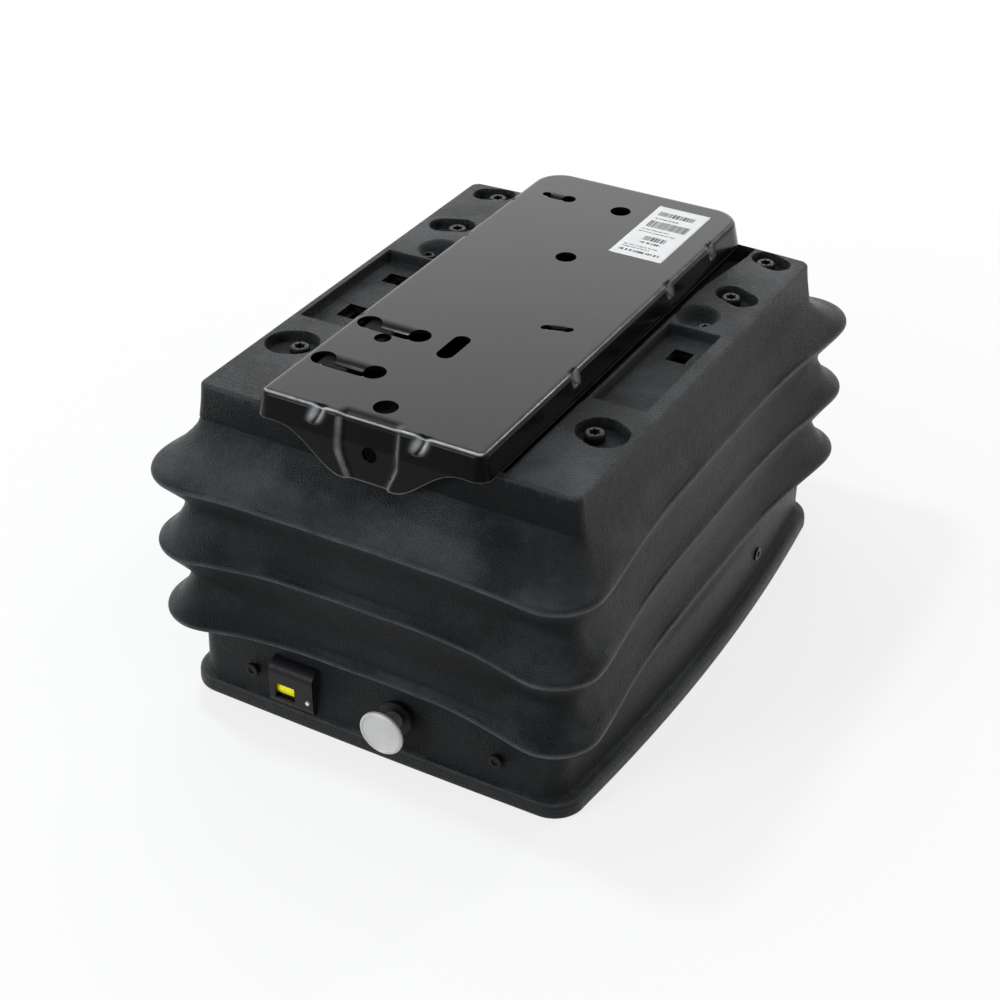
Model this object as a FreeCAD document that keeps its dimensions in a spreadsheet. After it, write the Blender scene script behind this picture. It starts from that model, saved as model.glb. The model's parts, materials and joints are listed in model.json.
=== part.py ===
"""Air-sprung suspension unit for a tractor seat.

A steel base pan carries two C rails and a pair of crossed arms. The arms raise a steel
upper pan, an air spring between the pans bears the load, and a level damper lies between
the arms. A moulded rubber gaiter closes the whole mechanism in, and a folded steel plate
on top takes the seat. Seen from its front, where the adjuster is, X points right, Y to the
back and Z up. The origin is the middle of the base on the floor. Lengths are in millimetres.
"""

import FreeCAD, Part
import math
import os
import re
import Sketcher

Vec = FreeCAD.Vector
UP = Vec(0, 0, 1)

doc = FreeCAD.newDocument("SeatSuspension")
sheet = doc.addObject("Spreadsheet::Sheet", "Sizes")

# Driving sizes: word in the sheet, value in millimetres, meaning
SIZES = (
    ("deck_height", 250, "top of the rubber deck above the floor"),
    ("stroke", 90, "how far the upper frame travels"),
    ("fit_gap", 0.3, "gap round pieces that only rest against each other"),
    ("running_gap", 0.05, "radial clearance of a shaft in its bore"),
    ("base_corner", 22, "corner radius of the base plate"),
    ("base_sheet", 3, "sheet of the base pan"),
    ("wall_top", 44, "upper edge of the upright wall above the floor"),
    ("fixing_across", 180, "floor fixing holes, centre to centre across"),
    ("fixing_along", 370, "floor fixing holes, centre to centre front to back"),
    ("fixing_hole", 11, "floor fixing hole diameter"),
    ("rail_sheet", 3, "sheet of the C rails"),
    ("rail_depth", 17, "depth of the C rails across"),
    ("roller_diameter", 24, "guide roller"),
    ("roller_width", 10.5, "guide roller across"),
    ("roller_play", 0.4, "gap between roller and rail, above and below"),
    ("axle_diameter", 12, "ends of the shafts under rollers and arms"),
    ("shaft_diameter", 16, "cross shafts and pivot shafts"),
    ("arm_sheet", 5, "thickness of an arm"),
    ("arm_end", 13, "radius of an arm's ends"),
    ("arm_middle", 19, "radius of an arm at its middle pivot"),
    ("bush_wall", 2, "wall of the pivot bushes"),
    ("bracket_sheet", 4, "sheet of the pivot brackets"),
    ("bracket_foot", 42, "length of a pivot bracket's welded foot"),
    ("damper_arm", 110, "damper pins from the middle pivot along the arms"),
    ("damper_at", -88, "damper's line across"),
    ("damper_diameter", 28, "damper tube"),
    ("damper_wall", 2, "wall of the damper tube"),
    ("damper_tube", 108, "length of the damper tube"),
    ("damper_rod_diameter", 10, "damper rod"),
    ("damper_eye", 11, "outer radius of the damper's eyes"),
    ("damper_pin", 10, "diameter of the damper pins"),
    ("spring_across", 25, "air spring's axis across"),
    ("spring_along", 25, "air spring's axis behind the middle"),
    ("spring_radius", 58, "air spring's rubber, outside"),
    ("spring_rubber", 4, "air spring's rubber wall"),
    ("piston_radius", 42, "air spring's piston"),
    ("piston_height", 75, "air spring's piston"),
    ("cap_depth", 12, "air spring's upper cap"),
    ("upper_sheet", 3, "sheet of the upper pan"),
    ("upper_skirt", 22, "depth of the upper pan's side flanges"),
    ("rubber", 3, "wall of the gaiter"),
    ("deck_width", 300, "rubber deck across"),
    ("deck_length", 381.5, "rubber deck front to back"),
    ("deck_corner", 6, "corner radius of the rubber deck"),
    ("deck_recess", 8, "depth of the deck's pockets and trays"),
    ("band_depth", 26.5, "depth of the upright band under the deck"),
    ("ridge_corner", 30, "corner radius of the ridges"),
    ("ridge_waist", 10, "how far a ridge's sides draw in"),
    ("crease_corner", 24, "corner radius of the creases"),
    ("low_ridge_height", 71, "lowest ridge above the floor"),
    ("fold_pitch", 60.2, "ridge to ridge"),
    ("skirt_top", 56, "top of the gaiter's skirt above the floor"),
    ("skirt_bulge", 11, "how far the skirt's sides swell out"),
    ("bead_height", 14, "bead round the gaiter's foot"),
    ("plate_width", 175, "seat plate's top across"),
    ("plate_rise", 19.5, "seat plate's top above the rubber deck"),
    ("plate_sheet", 3, "sheet of the seat plate"),
    ("plate_bend", 6, "outer bend radius of the seat plate"),
    ("plate_rear_corner", 24, "rear corners of the seat plate"),
    ("plate_slope", 12, "slope of the seat plate's aprons in degrees"),
    ("tongue_depth", 28, "seat plate's front tongue below the deck"),
    ("tongue_foot_half", 19, "tongue's half width at its foot"),
    ("tongue_hole", 11.5, "hole in the tongue"),
    ("dart_radius", 5, "pressed darts across the seat plate's bends"),
    ("carrier_width", 26, "carrier rails under the seat plate across"),
    ("seat_hole", 16, "seat fixing holes on the middle line"),
    ("seat_hole_first", 71, "first seat fixing hole behind the middle"),
    ("seat_hole_pitch", 91, "seat fixing holes, centre to centre"),
    ("knob_across", 22, "adjuster's axis across"),
    ("knob_height", 38.8, "adjuster's axis above the floor"),
    ("knob_diameter", 35, "adjuster's disc"),
    ("knob_hub", 8, "adjuster's hub from its face to its end"),
    ("knob_stem", 13, "adjuster's stem diameter"),
    ("dial_across", -66, "indicator's middle across"),
    ("dial_height", 32, "indicator's middle above the floor"),
    ("dial_width", 38, "indicator housing across"),
    ("dial_tall", 37, "indicator housing's height"),
    ("drum_radius", 9, "indicator drum"),
    ("motor_radius", 18, "compressor's motor"),
    ("motor_length", 92, "compressor's motor"),
    ("hose_diameter", 6, "air hoses"),
    ("hose_lift", 0.3, "air hoses above the base plate"),
    ("valve_width", 36, "control valve across"),
    ("valve_top", 58, "control valve's top above the floor"),
    ("grommet_across", 66, "cable grommet across"),
    ("grommet_radius", 7, "cable grommet in the base plate"),
    ("label_across", 45, "label's middle across"),
    ("label_along", 141, "label's middle behind the middle"),
    ("label_width", 44, "label across"),
    ("label_length", 90, "label along"),
    ("buffer_length", 18, "rubber buffers in the rails"),
    ("skirt_screw", 6, "shank of the screws that hold the gaiter's skirt"),
    ("front_screw_across", 103, "front skirt screws from the middle"),
    ("front_screw_height", 33, "front skirt screws above the floor"),
    ("side_screw_along", 98, "side skirt screws behind the middle"),
    ("side_screw_height", 36, "side skirt screws above the floor"),
    ("deck_screw", 8, "shank of the deck screws"),
    ("deck_screw_head", 15, "head of the deck screws"),
    ("deck_screw_front", -110, "front pair of deck screws along"),
    ("pocket_length", 38, "round-ended pockets in the deck across"),
    ("pocket_width", 23, "round-ended pockets in the deck along"),
    ("fold_reach", 27.5, "ridges beyond the deck's sides, at their corners"),
    ("fold_reach_along", 47.25, "ridges beyond the deck's ends, at their corners"),
    ("crease_reach", 8, "creases beyond the deck's sides"),
    ("crease_reach_along", 24.25, "creases beyond the deck's ends"),
    ("skirt_reach", 2.5, "foot of the skirt beyond the deck's sides"),
    ("skirt_reach_along", 25.75, "foot of the skirt beyond the deck's ends"),
    ("bead_lip", 9, "bead beyond the skirt's foot, at the sides"),
    ("bead_lip_along", 3, "bead beyond the skirt's foot, at the ends"),
    ("bead_grip", 5.5, "how far the bead reaches over the base plate's edge"),
    ("flange_side", 9, "base plate beyond its upright wall, at the sides"),
    ("flange_end", 7.5, "base plate beyond its upright wall, at the ends"),
    ("rail_inset", 8, "outer face of the C rails inside the deck's side"),
    ("arm_gap", 7, "outer arms inside the C rails"),
    ("arm_setback", 18, "arms shorter than the rails, at each end"),
    ("pivot_setback", 29, "rear pivots before the upper pan's rear edge"),
    ("plate_overhang", 12.25, "seat plate's front bend before the deck's front"),
    ("plate_overhang_rear", 14.25, "seat plate behind the deck's rear"),
    ("tongue_setback", 13.5, "tongue's half width less than the plate's"),
    ("carrier_inset", 35.5, "inner face of a carrier rail inside the plate's side"),
    ("carrier_setback", 34, "carrier rails shorter than the upper pan, at each end"),
    ("opening_cover", 5.5, "seat plate beyond the opening in the deck, at each side"),
    ("opening_margin", 15, "opening in the deck beyond the carrier rails, at each end"),
    ("knob_reach", 21.5, "adjuster's face before the skirt's foot"),
    ("dial_reach", 4.5, "indicator housing's face before the skirt's foot"),
    ("motor_gap", 4.5, "compressor's motor before the base pan's rear wall"),
    ("valve_gap", 8.5, "control valve behind the base pan's front wall"),
    ("valve_depth", 33, "control valve front to back"),
    ("grommet_gap", 13.5, "cable grommet before the base pan's rear wall"),
    ("deck_screw_inset", 31, "deck screws inside the deck's side"),
    ("deck_screw_setback", 14.75, "rear pair of deck screws before the deck's rear"),
    ("deck_screw_pitch", 65, "rear pair to second pair of deck screws"),
    ("tray_near", 21, "trays' inner side inside the line of the deck screws"),
    ("tray_far", 19, "trays' outer side outside the line of the deck screws"),
    ("clamp_height", 6, "air spring's clamp"),
    ("head_length", 30, "compressor's head"),
    ("fin_pitch", 5, "cooling fins of the compressor's head"),
    ("hose_outlet", 12, "supply hose beside the motor's end, on the compressor's head"),
    ("hose_spread", 9, "air hoses beside the adjuster's axis at the valve"),
    ("tray_front", -72, "long trays in the deck: front end"),
    ("tray_rear", 44, "long trays in the deck: rear end"),
    ("dish_along", 66, "round dishes in the deck along"),
    ("dish_radius", 15, "round dishes in the deck at their top"),
)

for row, (word, number, meaning) in enumerate(SIZES, start=1):
    sheet.set(f"A{row}", word)
    sheet.set(f"B{row}", str(number))
    sheet.set(f"C{row}", meaning)
    sheet.setAlias(f"B{row}", word)
doc.recompute()

# Places worked out from the driving sizes, in the sheet's words
PLACES = {
    "skirt_half_width": "deck_width / 2 + skirt_reach",
    "skirt_half_length": "deck_length / 2 + skirt_reach_along",
    "bead_half_width": "skirt_half_width + bead_lip",
    "bead_half_length": "skirt_half_length + bead_lip_along",
    "base_width": "2 * (bead_half_width - bead_grip)",
    "base_length": "2 * (bead_half_length - bead_grip)",
    "wall_width": "base_width - 2 * flange_side",
    "wall_length": "base_length - 2 * flange_end",
    "ridge_half_width": "deck_width / 2 + fold_reach",
    "ridge_half_length": "deck_length / 2 + fold_reach_along",
    "crease_half_width": "deck_width / 2 + crease_reach",
    "crease_half_length": "deck_length / 2 + crease_reach_along",
    "upper_width": "deck_width - 3 * rubber",
    "upper_length": "deck_length - 4.5 * rubber",
    "rail_outside": "deck_width / 2 - rail_inset",
    "rail_length": "upper_length - 4 * rail_sheet",
    "arm_length": "rail_length - 2 * arm_setback",
    "rear_pivot": "upper_length / 2 - pivot_setback",
    "outer_arm_at": "rail_inside - arm_gap",
    "inner_arm_at": "outer_arm_at - 2 * arm_sheet",
    "plate_front": "deck_length / 2 + plate_overhang",
    "plate_length": "plate_front + deck_length / 2 + plate_overhang_rear",
    "tongue_top_half": "plate_width / 2 - tongue_setback",
    "carrier_at": "plate_width / 2 - carrier_inset",
    "carrier_length": "upper_length - 2 * carrier_setback",
    "deck_opening_across": "plate_width - 2 * opening_cover",
    "deck_opening_along": "carrier_length + 2 * opening_margin",
    "knob_face": "skirt_half_length + knob_reach",
    "dial_front": "skirt_half_length + dial_reach",
    "motor_along": "wall_length / 2 - motor_radius - motor_gap",
    "valve_front": "wall_length / 2 - valve_gap",
    "valve_back": "valve_front - valve_depth",
    "grommet_along": "wall_length / 2 - grommet_gap",
    "side_screw_reach": "skirt_half_width + skirt_bulge - 0.5",
    "deck_screw_across": "deck_width / 2 - deck_screw_inset",
    "deck_screw_rear": "deck_length / 2 - deck_screw_setback",
    "deck_screw_middle": "deck_screw_rear - deck_screw_pitch",
    "tray_inside": "deck_screw_across - tray_near",
    "tray_outside": "deck_screw_across + tray_far",
    "roller_radius": "roller_diameter / 2",
    "axle_radius": "axle_diameter / 2",
    "shaft_radius": "shaft_diameter / 2",
    "stem_radius": "knob_stem / 2",
    "hose_radius": "hose_diameter / 2",
    "rail_height": "roller_diameter + 2 * roller_play + 2 * rail_sheet",
    "rail_inside": "rail_outside - rail_depth",
    "tray_floor": "deck_height - deck_recess",
    "upper_top": "tray_floor - rubber",
    "upper_bottom": "upper_top - upper_sheet",
    "low_pivot": "base_sheet + rail_height / 2",
    "high_pivot": "upper_bottom - rail_height / 2",
    "rise": "high_pivot - low_pivot",
    "arm_angle": "asin(rise / arm_length)",
    "arm_reach": "arm_length * cos(arm_angle)",
    "low_angle": "asin((rise - stroke) / arm_length)",
    "low_reach": "arm_length * cos(low_angle)",
    "front_pivot": "rear_pivot - arm_reach",
    "front_limit": "rear_pivot - low_reach",
    "middle_along": "rear_pivot - arm_reach / 2",
    "middle_height": "low_pivot + rise / 2",
    "roller_at": "rail_inside + fit_gap",
    "shaft_end": "rail_outside - rail_sheet - 1",
    "damper_height": "middle_height - damper_arm * sin(arm_angle)",
    "damper_rear": "middle_along + damper_arm * cos(arm_angle)",
    "damper_front": "middle_along - damper_arm * cos(arm_angle)",
    "plate_top": "deck_height + plate_rise",
    "plate_rear": "plate_length - plate_front",
    "apron_flare": "plate_rise * tan(plate_slope)",
    "plate_foot_front": "plate_front + apron_flare",
    "wall_front": "wall_length / 2",
    "motor_height": "base_sheet + 4 + motor_radius",
    "bushing_radius": "stem_radius + 4",
    "screw_hole": "skirt_screw / 2 + fit_gap",
    "dial_foot": "dial_height - dial_tall / 2",
    "bush_radius": "shaft_radius + bush_wall",
    "centre_bush": "axle_radius + bush_wall",
}

WORD = re.compile(r"[a-z_]+")
SHEET_WORDS = {word for word, number, meaning in SIZES}


def cells(text):
    """Turn a size written in the sheet's words into an expression on the sheet's cells."""
    def name(match):
        word = match.group()
        if word in SHEET_WORDS:
            return f"Sizes.{word}"
        return f"({cells(PLACES[word])})" if word in PLACES else word
    return WORD.sub(name, str(text))


def size(text):
    """The value of a size written in the sheet's words."""
    number = sheet.evalExpression(cells(text))
    return float(getattr(number, "Value", number))


def bind(obj, **links):
    """Bind properties of an object to the sheet; Place_x and the like mean its placement."""
    for prop, text in links.items():
        path = prop.replace("Place_", ".Placement.Base.")
        path = path.replace("Turn", ".Placement.Rotation.Angle")
        obj.setExpression(path, cells(text))
    return obj


def solid(kind, name, at=(0, 0, 0), **links):
    """A Part primitive with its sizes and its corner or centre bound to the sheet."""
    obj = doc.addObject(f"Part::{kind}", name)
    bind(obj, **links)
    for letter, text in zip("xyz", at):
        bind(obj, **{f"Place_{letter}": text})
    return obj


def box(name, low, high):
    """A box between two corners."""
    spans = [f"({b}) - ({a})" for a, b in zip(low, high)]
    return solid("Box", name, low, Length=spans[0], Width=spans[1], Height=spans[2])


AXIS_TURN = {"x": (Vec(0, 1, 0), 90), "y": (Vec(-1, 0, 0), 90), "z": (UP, 0)}


def rod(name, axis, at, radius, length):
    """A cylinder that starts at a point and runs along +X, +Y or +Z."""
    obj = doc.addObject("Part::Cylinder", name)
    obj.Placement.Rotation = FreeCAD.Rotation(*AXIS_TURN[axis])
    bind(obj, Radius=radius, Height=length, Place_x=at[0], Place_y=at[1], Place_z=at[2])
    return obj


def tube(name, axis, at, outer, inner, length):
    """A hollow cylinder that starts at a point and runs along an axis."""
    return cut(name, rod(f"{name}_outside", axis, at, outer, length),
               rod(f"{name}_bore", axis, at, inner, length))


def fuse(name, *pieces):
    """One solid made of touching or overlapping pieces, or a group of separate ones."""
    obj = doc.addObject("Part::MultiFuse", name)
    obj.Shapes = list(pieces)
    obj.Refine = True
    return obj


def cut(name, base, *tools):
    """A piece with others taken out of it."""
    obj = doc.addObject("Part::Cut", name)
    obj.Base = base
    obj.Tool = tools[0] if len(tools) == 1 else fuse(f"{name}_tools", *tools)
    obj.Refine = True
    return obj


def group(name, *pieces):
    """Several separate solids under one name."""
    obj = doc.addObject("Part::Compound", name)
    obj.Links = list(pieces)
    return obj


def new_body(name):
    return doc.addObject("PartDesign::Body", name)


def new_sketch(body, name, plane, level="0"):
    """A sketch on one of the body's own planes, moved along the plane's normal."""
    sketch = body.newObject("Sketcher::SketchObject", name)
    face = [feature for feature in body.Origin.OriginFeatures if feature.Role == plane][0]
    sketch.AttachmentSupport = [(face, "")]
    sketch.MapMode = "FlatFace"
    sketch.setExpression(".AttachmentOffset.Base.z", cells(level))
    return sketch


def pin_point(sketch, item, point, across, along):
    """Hold a point of a sketch at a place given in the sheet's words."""
    for kind, text in (("DistanceX", across), ("DistanceY", along)):
        number = sketch.addConstraint(Sketcher.Constraint(kind, -1, 1, item, point, size(text)))
        sketch.setExpression(f"Constraints[{number}]", cells(text))


def hold_radius(sketch, item, text):
    number = sketch.addConstraint(Sketcher.Constraint("Radius", item, size(text)))
    sketch.setExpression(f"Constraints[{number}]", cells(text))


def add_bend(sketch, before, corner, after, radius):
    """Add the arc that rounds a corner; give its item, its near and far ends and its trims."""
    back, ahead = (before - corner).normalize(), (after - corner).normalize()
    half = back.getAngle(ahead) / 2
    trim = radius / math.tan(half)
    enter, leave = corner + back * trim, corner + ahead * trim
    centre = corner + (back + ahead).normalize() * (radius / math.sin(half))
    left_turn = back.cross(ahead).z < 0
    first, last = (enter, leave) if left_turn else (leave, enter)
    angles = [math.atan2((end - centre).y, (end - centre).x) for end in (first, last)]
    arc = Part.ArcOfCircle(Part.Circle(centre, UP, radius), *angles)
    item = sketch.addGeometry(arc, False)
    near, far = (1, 2) if left_turn else (2, 1)
    return item, near, far, enter, leave


def outline(sketch, corners):
    """A closed outline; each corner is (across, along) or (across, along, radius)."""
    points = [Vec(size(corner[0]), size(corner[1]), 0) for corner in corners]
    count = len(corners)
    bends = [
        add_bend(sketch, points[index - 1], points[index], points[(index + 1) % count],
                 size(corner[2])) if len(corner) > 2 else None
        for index, corner in enumerate(corners)
    ]
    ends = [(bend[3], bend[4]) if bend else (point, point) for bend, point in zip(bends, points)]
    lines = [
        sketch.addGeometry(Part.LineSegment(ends[index][1], ends[(index + 1) % count][0]), False)
        for index in range(count)
    ]
    for index, (corner, point, bend) in enumerate(zip(corners, points, bends)):
        before, after = lines[index - 1], lines[index]
        if bend is None:
            sketch.addConstraint(Sketcher.Constraint("Coincident", before, 2, after, 1))
            pin_point(sketch, after, 1, corner[0], corner[1])
            continue
        item, near, far = bend[:3]
        mark = sketch.addGeometry(Part.Point(point), True)
        sketch.addConstraint(Sketcher.Constraint("Tangent", before, 2, item, near))
        sketch.addConstraint(Sketcher.Constraint("Tangent", item, far, after, 1))
        hold_radius(sketch, item, corner[2])
        sketch.addConstraint(Sketcher.Constraint("PointOnObject", mark, 1, before))
        sketch.addConstraint(Sketcher.Constraint("PointOnObject", mark, 1, after))
        pin_point(sketch, mark, 1, corner[0], corner[1])
    return sketch


def ring(sketch, across, along, radius):
    """A circle in a sketch."""
    centre = Vec(size(across), size(along), 0)
    item = sketch.addGeometry(Part.Circle(centre, UP, size(radius)), False)
    pin_point(sketch, item, 3, across, along)
    hold_radius(sketch, item, radius)


def pad(body, sketch, length, back=False):
    feature = body.newObject("PartDesign::Pad", f"{sketch.Name}_pad")
    feature.Profile = sketch
    feature.Reversed = back
    feature.setExpression("Length", cells(length))
    return feature


def pocket(body, sketch, depth, ahead=False):
    """Cut a sketch into the body, against its plane's normal, or along it if ahead."""
    doc.recompute()
    before = body.Shape.Volume
    feature = body.newObject("PartDesign::Pocket", f"{sketch.Name}_pocket")
    feature.Profile = sketch
    feature.Reversed = ahead
    feature.setExpression("Length", cells(depth))
    doc.recompute()
    if body.Shape.Volume >= before:
        raise RuntimeError(f"{feature.Name} cuts nothing")
    return feature


def turned(name, corners, axis, at):
    """A body turned about an axis; corners are (radius, distance along the axis)."""
    body = new_body(name)
    sketch = outline(new_sketch(body, f"{name}_profile", "XZ_Plane"), corners)
    feature = body.newObject("PartDesign::Revolution", f"{name}_turn")
    feature.Profile = sketch
    feature.ReferenceAxis = (sketch, ["V_Axis"])
    feature.Angle = 360
    body.Placement.Rotation = FreeCAD.Rotation(*AXIS_TURN[axis])
    return bind(body, Place_x=at[0], Place_y=at[1], Place_z=at[2])


def edges_where(shape, test):
    """The names of the edges whose middle passes a test."""
    return [
        f"Edge{index}" for index, edge in enumerate(shape.Edges, start=1)
        if test(edge, edge.CenterOfMass)
    ]


def fillet(body, radius, test):
    """Round the edges of a body that pass a test."""
    doc.recompute()
    base = body.Tip
    feature = body.newObject("PartDesign::Fillet", f"{body.Name}_fillet_{len(body.Group)}")
    feature.Base = (base, edges_where(base.Shape, test))
    feature.setExpression("Radius", cells(radius))
    return feature


def open_path(sketch, points):
    """Straight runs joined by tangent arcs, each arc as large as its two runs allow."""
    radii = []
    places = [Vec(size(across), size(along), 0) for across, along in points]
    bends = []
    for before, here, after in zip(places, places[1:], places[2:]):
        turn = (before - here).getAngle(after - here) / 2
        run = min((before - here).Length, (after - here).Length)
        radii.append(0.45 * run * math.tan(turn))
        bends.append(add_bend(sketch, before, here, after, radii[-1]))
    starts = [places[0]] + [bend[4] for bend in bends]
    stops = [bend[3] for bend in bends] + [places[-1]]
    lines = [
        sketch.addGeometry(Part.LineSegment(start, stop), False)
        for start, stop in zip(starts, stops)
    ]
    for (item, near, far, *trims), before, after in zip(bends, lines, lines[1:]):
        sketch.addConstraint(Sketcher.Constraint("Tangent", before, 2, item, near))
        sketch.addConstraint(Sketcher.Constraint("Tangent", item, far, after, 1))
    tightest = min(radii) / size("hose_diameter")
    print(f"{sketch.Label}: tightest bend {min(radii):.1f} mm, {tightest:.1f} diameters")
    return [f"Edge{item}" for item in range(1, len(lines) + len(bends) + 1)]


SIDES = (("left", -1), ("right", 1))
PAIRS = ((-1, -1), (1, -1), (1, 1), (-1, 1))


def mirrored_span(sign, near, far):
    """The low and high ends of a span that lies on one side of the middle."""
    return (near, far) if sign > 0 else (f"-({far})", f"-({near})")


def rectangle(half_across, half_along, corner):
    """The corners of a rectangle about the origin, for an outline."""
    return [
        (f"{sx} * ({half_across})", f"{sy} * ({half_along})", corner) for sx, sy in PAIRS
    ]


def base_pan():
    """Floor plate with an upright wall set in from its edge, and its fixing holes."""
    body = new_body("base_pan")
    floor = new_sketch(body, "base_pan_floor", "XY_Plane")
    outline(floor, rectangle("base_width / 2", "base_length / 2", "base_corner"))
    pad(body, floor, "base_sheet")
    wall = new_sketch(body, "base_pan_wall", "XY_Plane", "base_sheet")
    outline(wall, rectangle("wall_width / 2", "wall_front", "base_corner - base_sheet"))
    outline(wall, rectangle("wall_width / 2 - base_sheet", "wall_front - base_sheet",
                            "base_corner - 2 * base_sheet"))
    pad(body, wall, "wall_top - base_sheet")
    holes = new_sketch(body, "base_pan_fixings", "XY_Plane", "base_sheet")
    for sx, sy in PAIRS:
        ring(holes, f"{sx} * fixing_across / 2", f"{sy} * fixing_along / 2", "fixing_hole / 2")
    ring(holes, "grommet_across", "grommet_along", "grommet_radius + running_gap")
    pocket(body, holes, "base_sheet")
    notches = new_sketch(body, "base_pan_notches", "XZ_Plane", "wall_front - 2 * base_sheet")
    for middle, half, foot in (
        ("knob_across", "bushing_radius + fit_gap", "knob_height - bushing_radius - fit_gap"),
        ("dial_across", "dial_width / 2 + fit_gap", "dial_foot - fit_gap"),
    ):
        outline(notches, [
            (f"{middle} - ({half})", foot), (f"{middle} + {half}", foot),
            (f"{middle} + {half}", "wall_top + 1"), (f"{middle} - ({half})", "wall_top + 1"),
        ])
    pocket(body, notches, "3 * base_sheet", ahead=True)
    front = new_sketch(body, "base_pan_front_holes", "XZ_Plane", "wall_front - 2 * base_sheet")
    for sign in (-1, 1):
        ring(front, f"{sign} * front_screw_across", "front_screw_height", "screw_hole")
    pocket(body, front, "3 * base_sheet", ahead=True)
    sides = new_sketch(body, "base_pan_side_holes", "YZ_Plane", "-wall_width / 2 - 1")
    ring(sides, "side_screw_along", "side_screw_height", "screw_hole")
    pocket(body, sides, "wall_width + 2", ahead=True)


def c_rail(name, sign, foot):
    """Folded C rail, open towards the middle, that guides a roller."""
    body = new_body(name)
    web, lip = f"{sign} * rail_outside", f"{sign} * rail_inside"
    inner = f"{sign} * (rail_outside - rail_sheet)"
    top = f"({foot}) + rail_height"
    section = new_sketch(body, f"{name}_section", "XZ_Plane", "-rail_length / 2")
    outline(section, [
        (web, foot, "rail_sheet"), (web, top, "rail_sheet"), (lip, top),
        (lip, f"{top} - rail_sheet"), (inner, f"{top} - rail_sheet"),
        (inner, f"{foot} + rail_sheet"), (lip, f"{foot} + rail_sheet"), (lip, foot),
    ])
    pad(body, section, "rail_length")


def rails():
    for side, sign in SIDES:
        c_rail(f"lower_rail_{side}", sign, "base_sheet")
        c_rail(f"upper_rail_{side}", sign, "upper_bottom - rail_height")


def buffer_block(name, sign, nose, direction):
    """Rubber stop wedged in a lower rail, with a rounded nose towards the roller."""
    body = new_body(name)
    near, far = mirrored_span(sign, "rail_inside + 1", "rail_outside - rail_sheet - fit_gap")
    plane = new_sketch(body, f"{name}_side", "YZ_Plane", near)
    low, high = "base_sheet + rail_sheet", "base_sheet + rail_height - rail_sheet"
    tail = f"{nose} + {direction} * buffer_length"
    outline(plane, [(nose, low, "4"), (tail, low), (tail, high), (nose, high, "4")])
    pad(body, plane, f"{far} - ({near})")
    return body


def buffers():
    """Stops at both ends of the lower rollers' run."""
    for name, nose, direction in (
        ("bump_buffer", "front_limit - roller_radius - fit_gap", -1),
        ("rebound_buffer", "front_pivot + roller_radius + fit_gap", 1),
    ):
        group(f"{name}s", *[
            buffer_block(f"{name}_{side}", sign, nose, direction) for side, sign in SIDES
        ])


def pivot_bracket(name, near, far, edge, pivot, up):
    """Plate welded on edge to a pan, tapered to an eye round the pivot shaft."""
    body = new_body(name)
    plane = new_sketch(body, f"{name}_side", "YZ_Plane", near)
    eye = "(arm_end + 1)"
    tip = f"{pivot} + {up} * {eye}"
    outline(plane, [
        ("rear_pivot - bracket_foot / 2", edge), ("rear_pivot + bracket_foot / 2", edge),
        (f"rear_pivot + {eye}", tip, f"{eye} * 0.7"), (f"rear_pivot - {eye}", tip, f"{eye} * 0.7"),
    ])
    pad(body, plane, "bracket_sheet")
    hole = new_sketch(body, f"{name}_bore", "YZ_Plane", far)
    ring(hole, "rear_pivot", pivot, "shaft_radius + running_gap")
    pocket(body, hole, "bracket_sheet")
    return body


def brackets():
    """Lower brackets stand inside the outer arms, upper ones hang outside the inner arms."""
    for name, at, edge, pivot, up in (
        ("lower_bracket", "inner_arm_at", "base_sheet", "low_pivot", 1),
        ("upper_bracket", "outer_arm_at", "upper_bottom", "high_pivot", -1),
    ):
        plates = []
        for side, sign in SIDES:
            near, far = mirrored_span(sign, at, f"{at} + bracket_sheet")
            plates.append(pivot_bracket(f"{name}_{side}", near, far, edge, pivot, up))
        group(f"{name}s", *plates)


def arm(name, sign, inside, lean, bores):
    """Flat arm: wide round its middle pivot, tapered to its round ends.

    It is drawn level about its middle and then leant by the angle of the crossed arms.
    """
    body = new_body(name)
    near, far = mirrored_span(sign, inside, f"{inside} + arm_sheet")
    end, waist = "(arm_length / 2 + arm_end)", "(2.2 * arm_middle)"
    plane = new_sketch(body, f"{name}_side", "YZ_Plane", near)
    outline(plane, [
        (f"-{end}", "-arm_end", "arm_end * 0.95"), (f"-{waist}", "-arm_end", "arm_end"),
        ("0", "-arm_middle", "arm_middle"), (waist, "-arm_end", "arm_end"),
        (end, "-arm_end", "arm_end * 0.95"), (end, "arm_end", "arm_end * 0.95"),
        (waist, "arm_end", "arm_end"), ("0", "arm_middle", "arm_middle"),
        (f"-{waist}", "arm_end", "arm_end"), (f"-{end}", "arm_end", "arm_end * 0.95"),
    ])
    pad(body, plane, "arm_sheet")
    holes = new_sketch(body, f"{name}_bores", "YZ_Plane", far)
    for along, radius in bores:
        ring(holes, along, "0", radius)
    pocket(body, holes, "arm_sheet")
    body.Placement.Rotation = FreeCAD.Rotation(Vec(lean, 0, 0), 45)
    bind(body, Place_y="middle_along", Place_z="middle_height", Turn="arm_angle")


def arms():
    front, rear = "-arm_length / 2", "arm_length / 2"
    axle, bush = "axle_radius + running_gap", "bush_radius + running_gap"
    pin = "damper_pin / 2 + running_gap"
    for side, sign in SIDES:
        outer = [(front, axle), (rear, bush), ("0", axle)]
        inner = [(front, axle), (rear, bush), ("0", "centre_bush + running_gap")]
        if sign < 0:
            outer.append(("damper_arm", pin))
            inner.append(("-damper_arm", pin))
        arm(f"outer_arm_{side}", sign, "outer_arm_at", -1, outer)
        arm(f"inner_arm_{side}", sign, "inner_arm_at", 1, inner)


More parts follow.
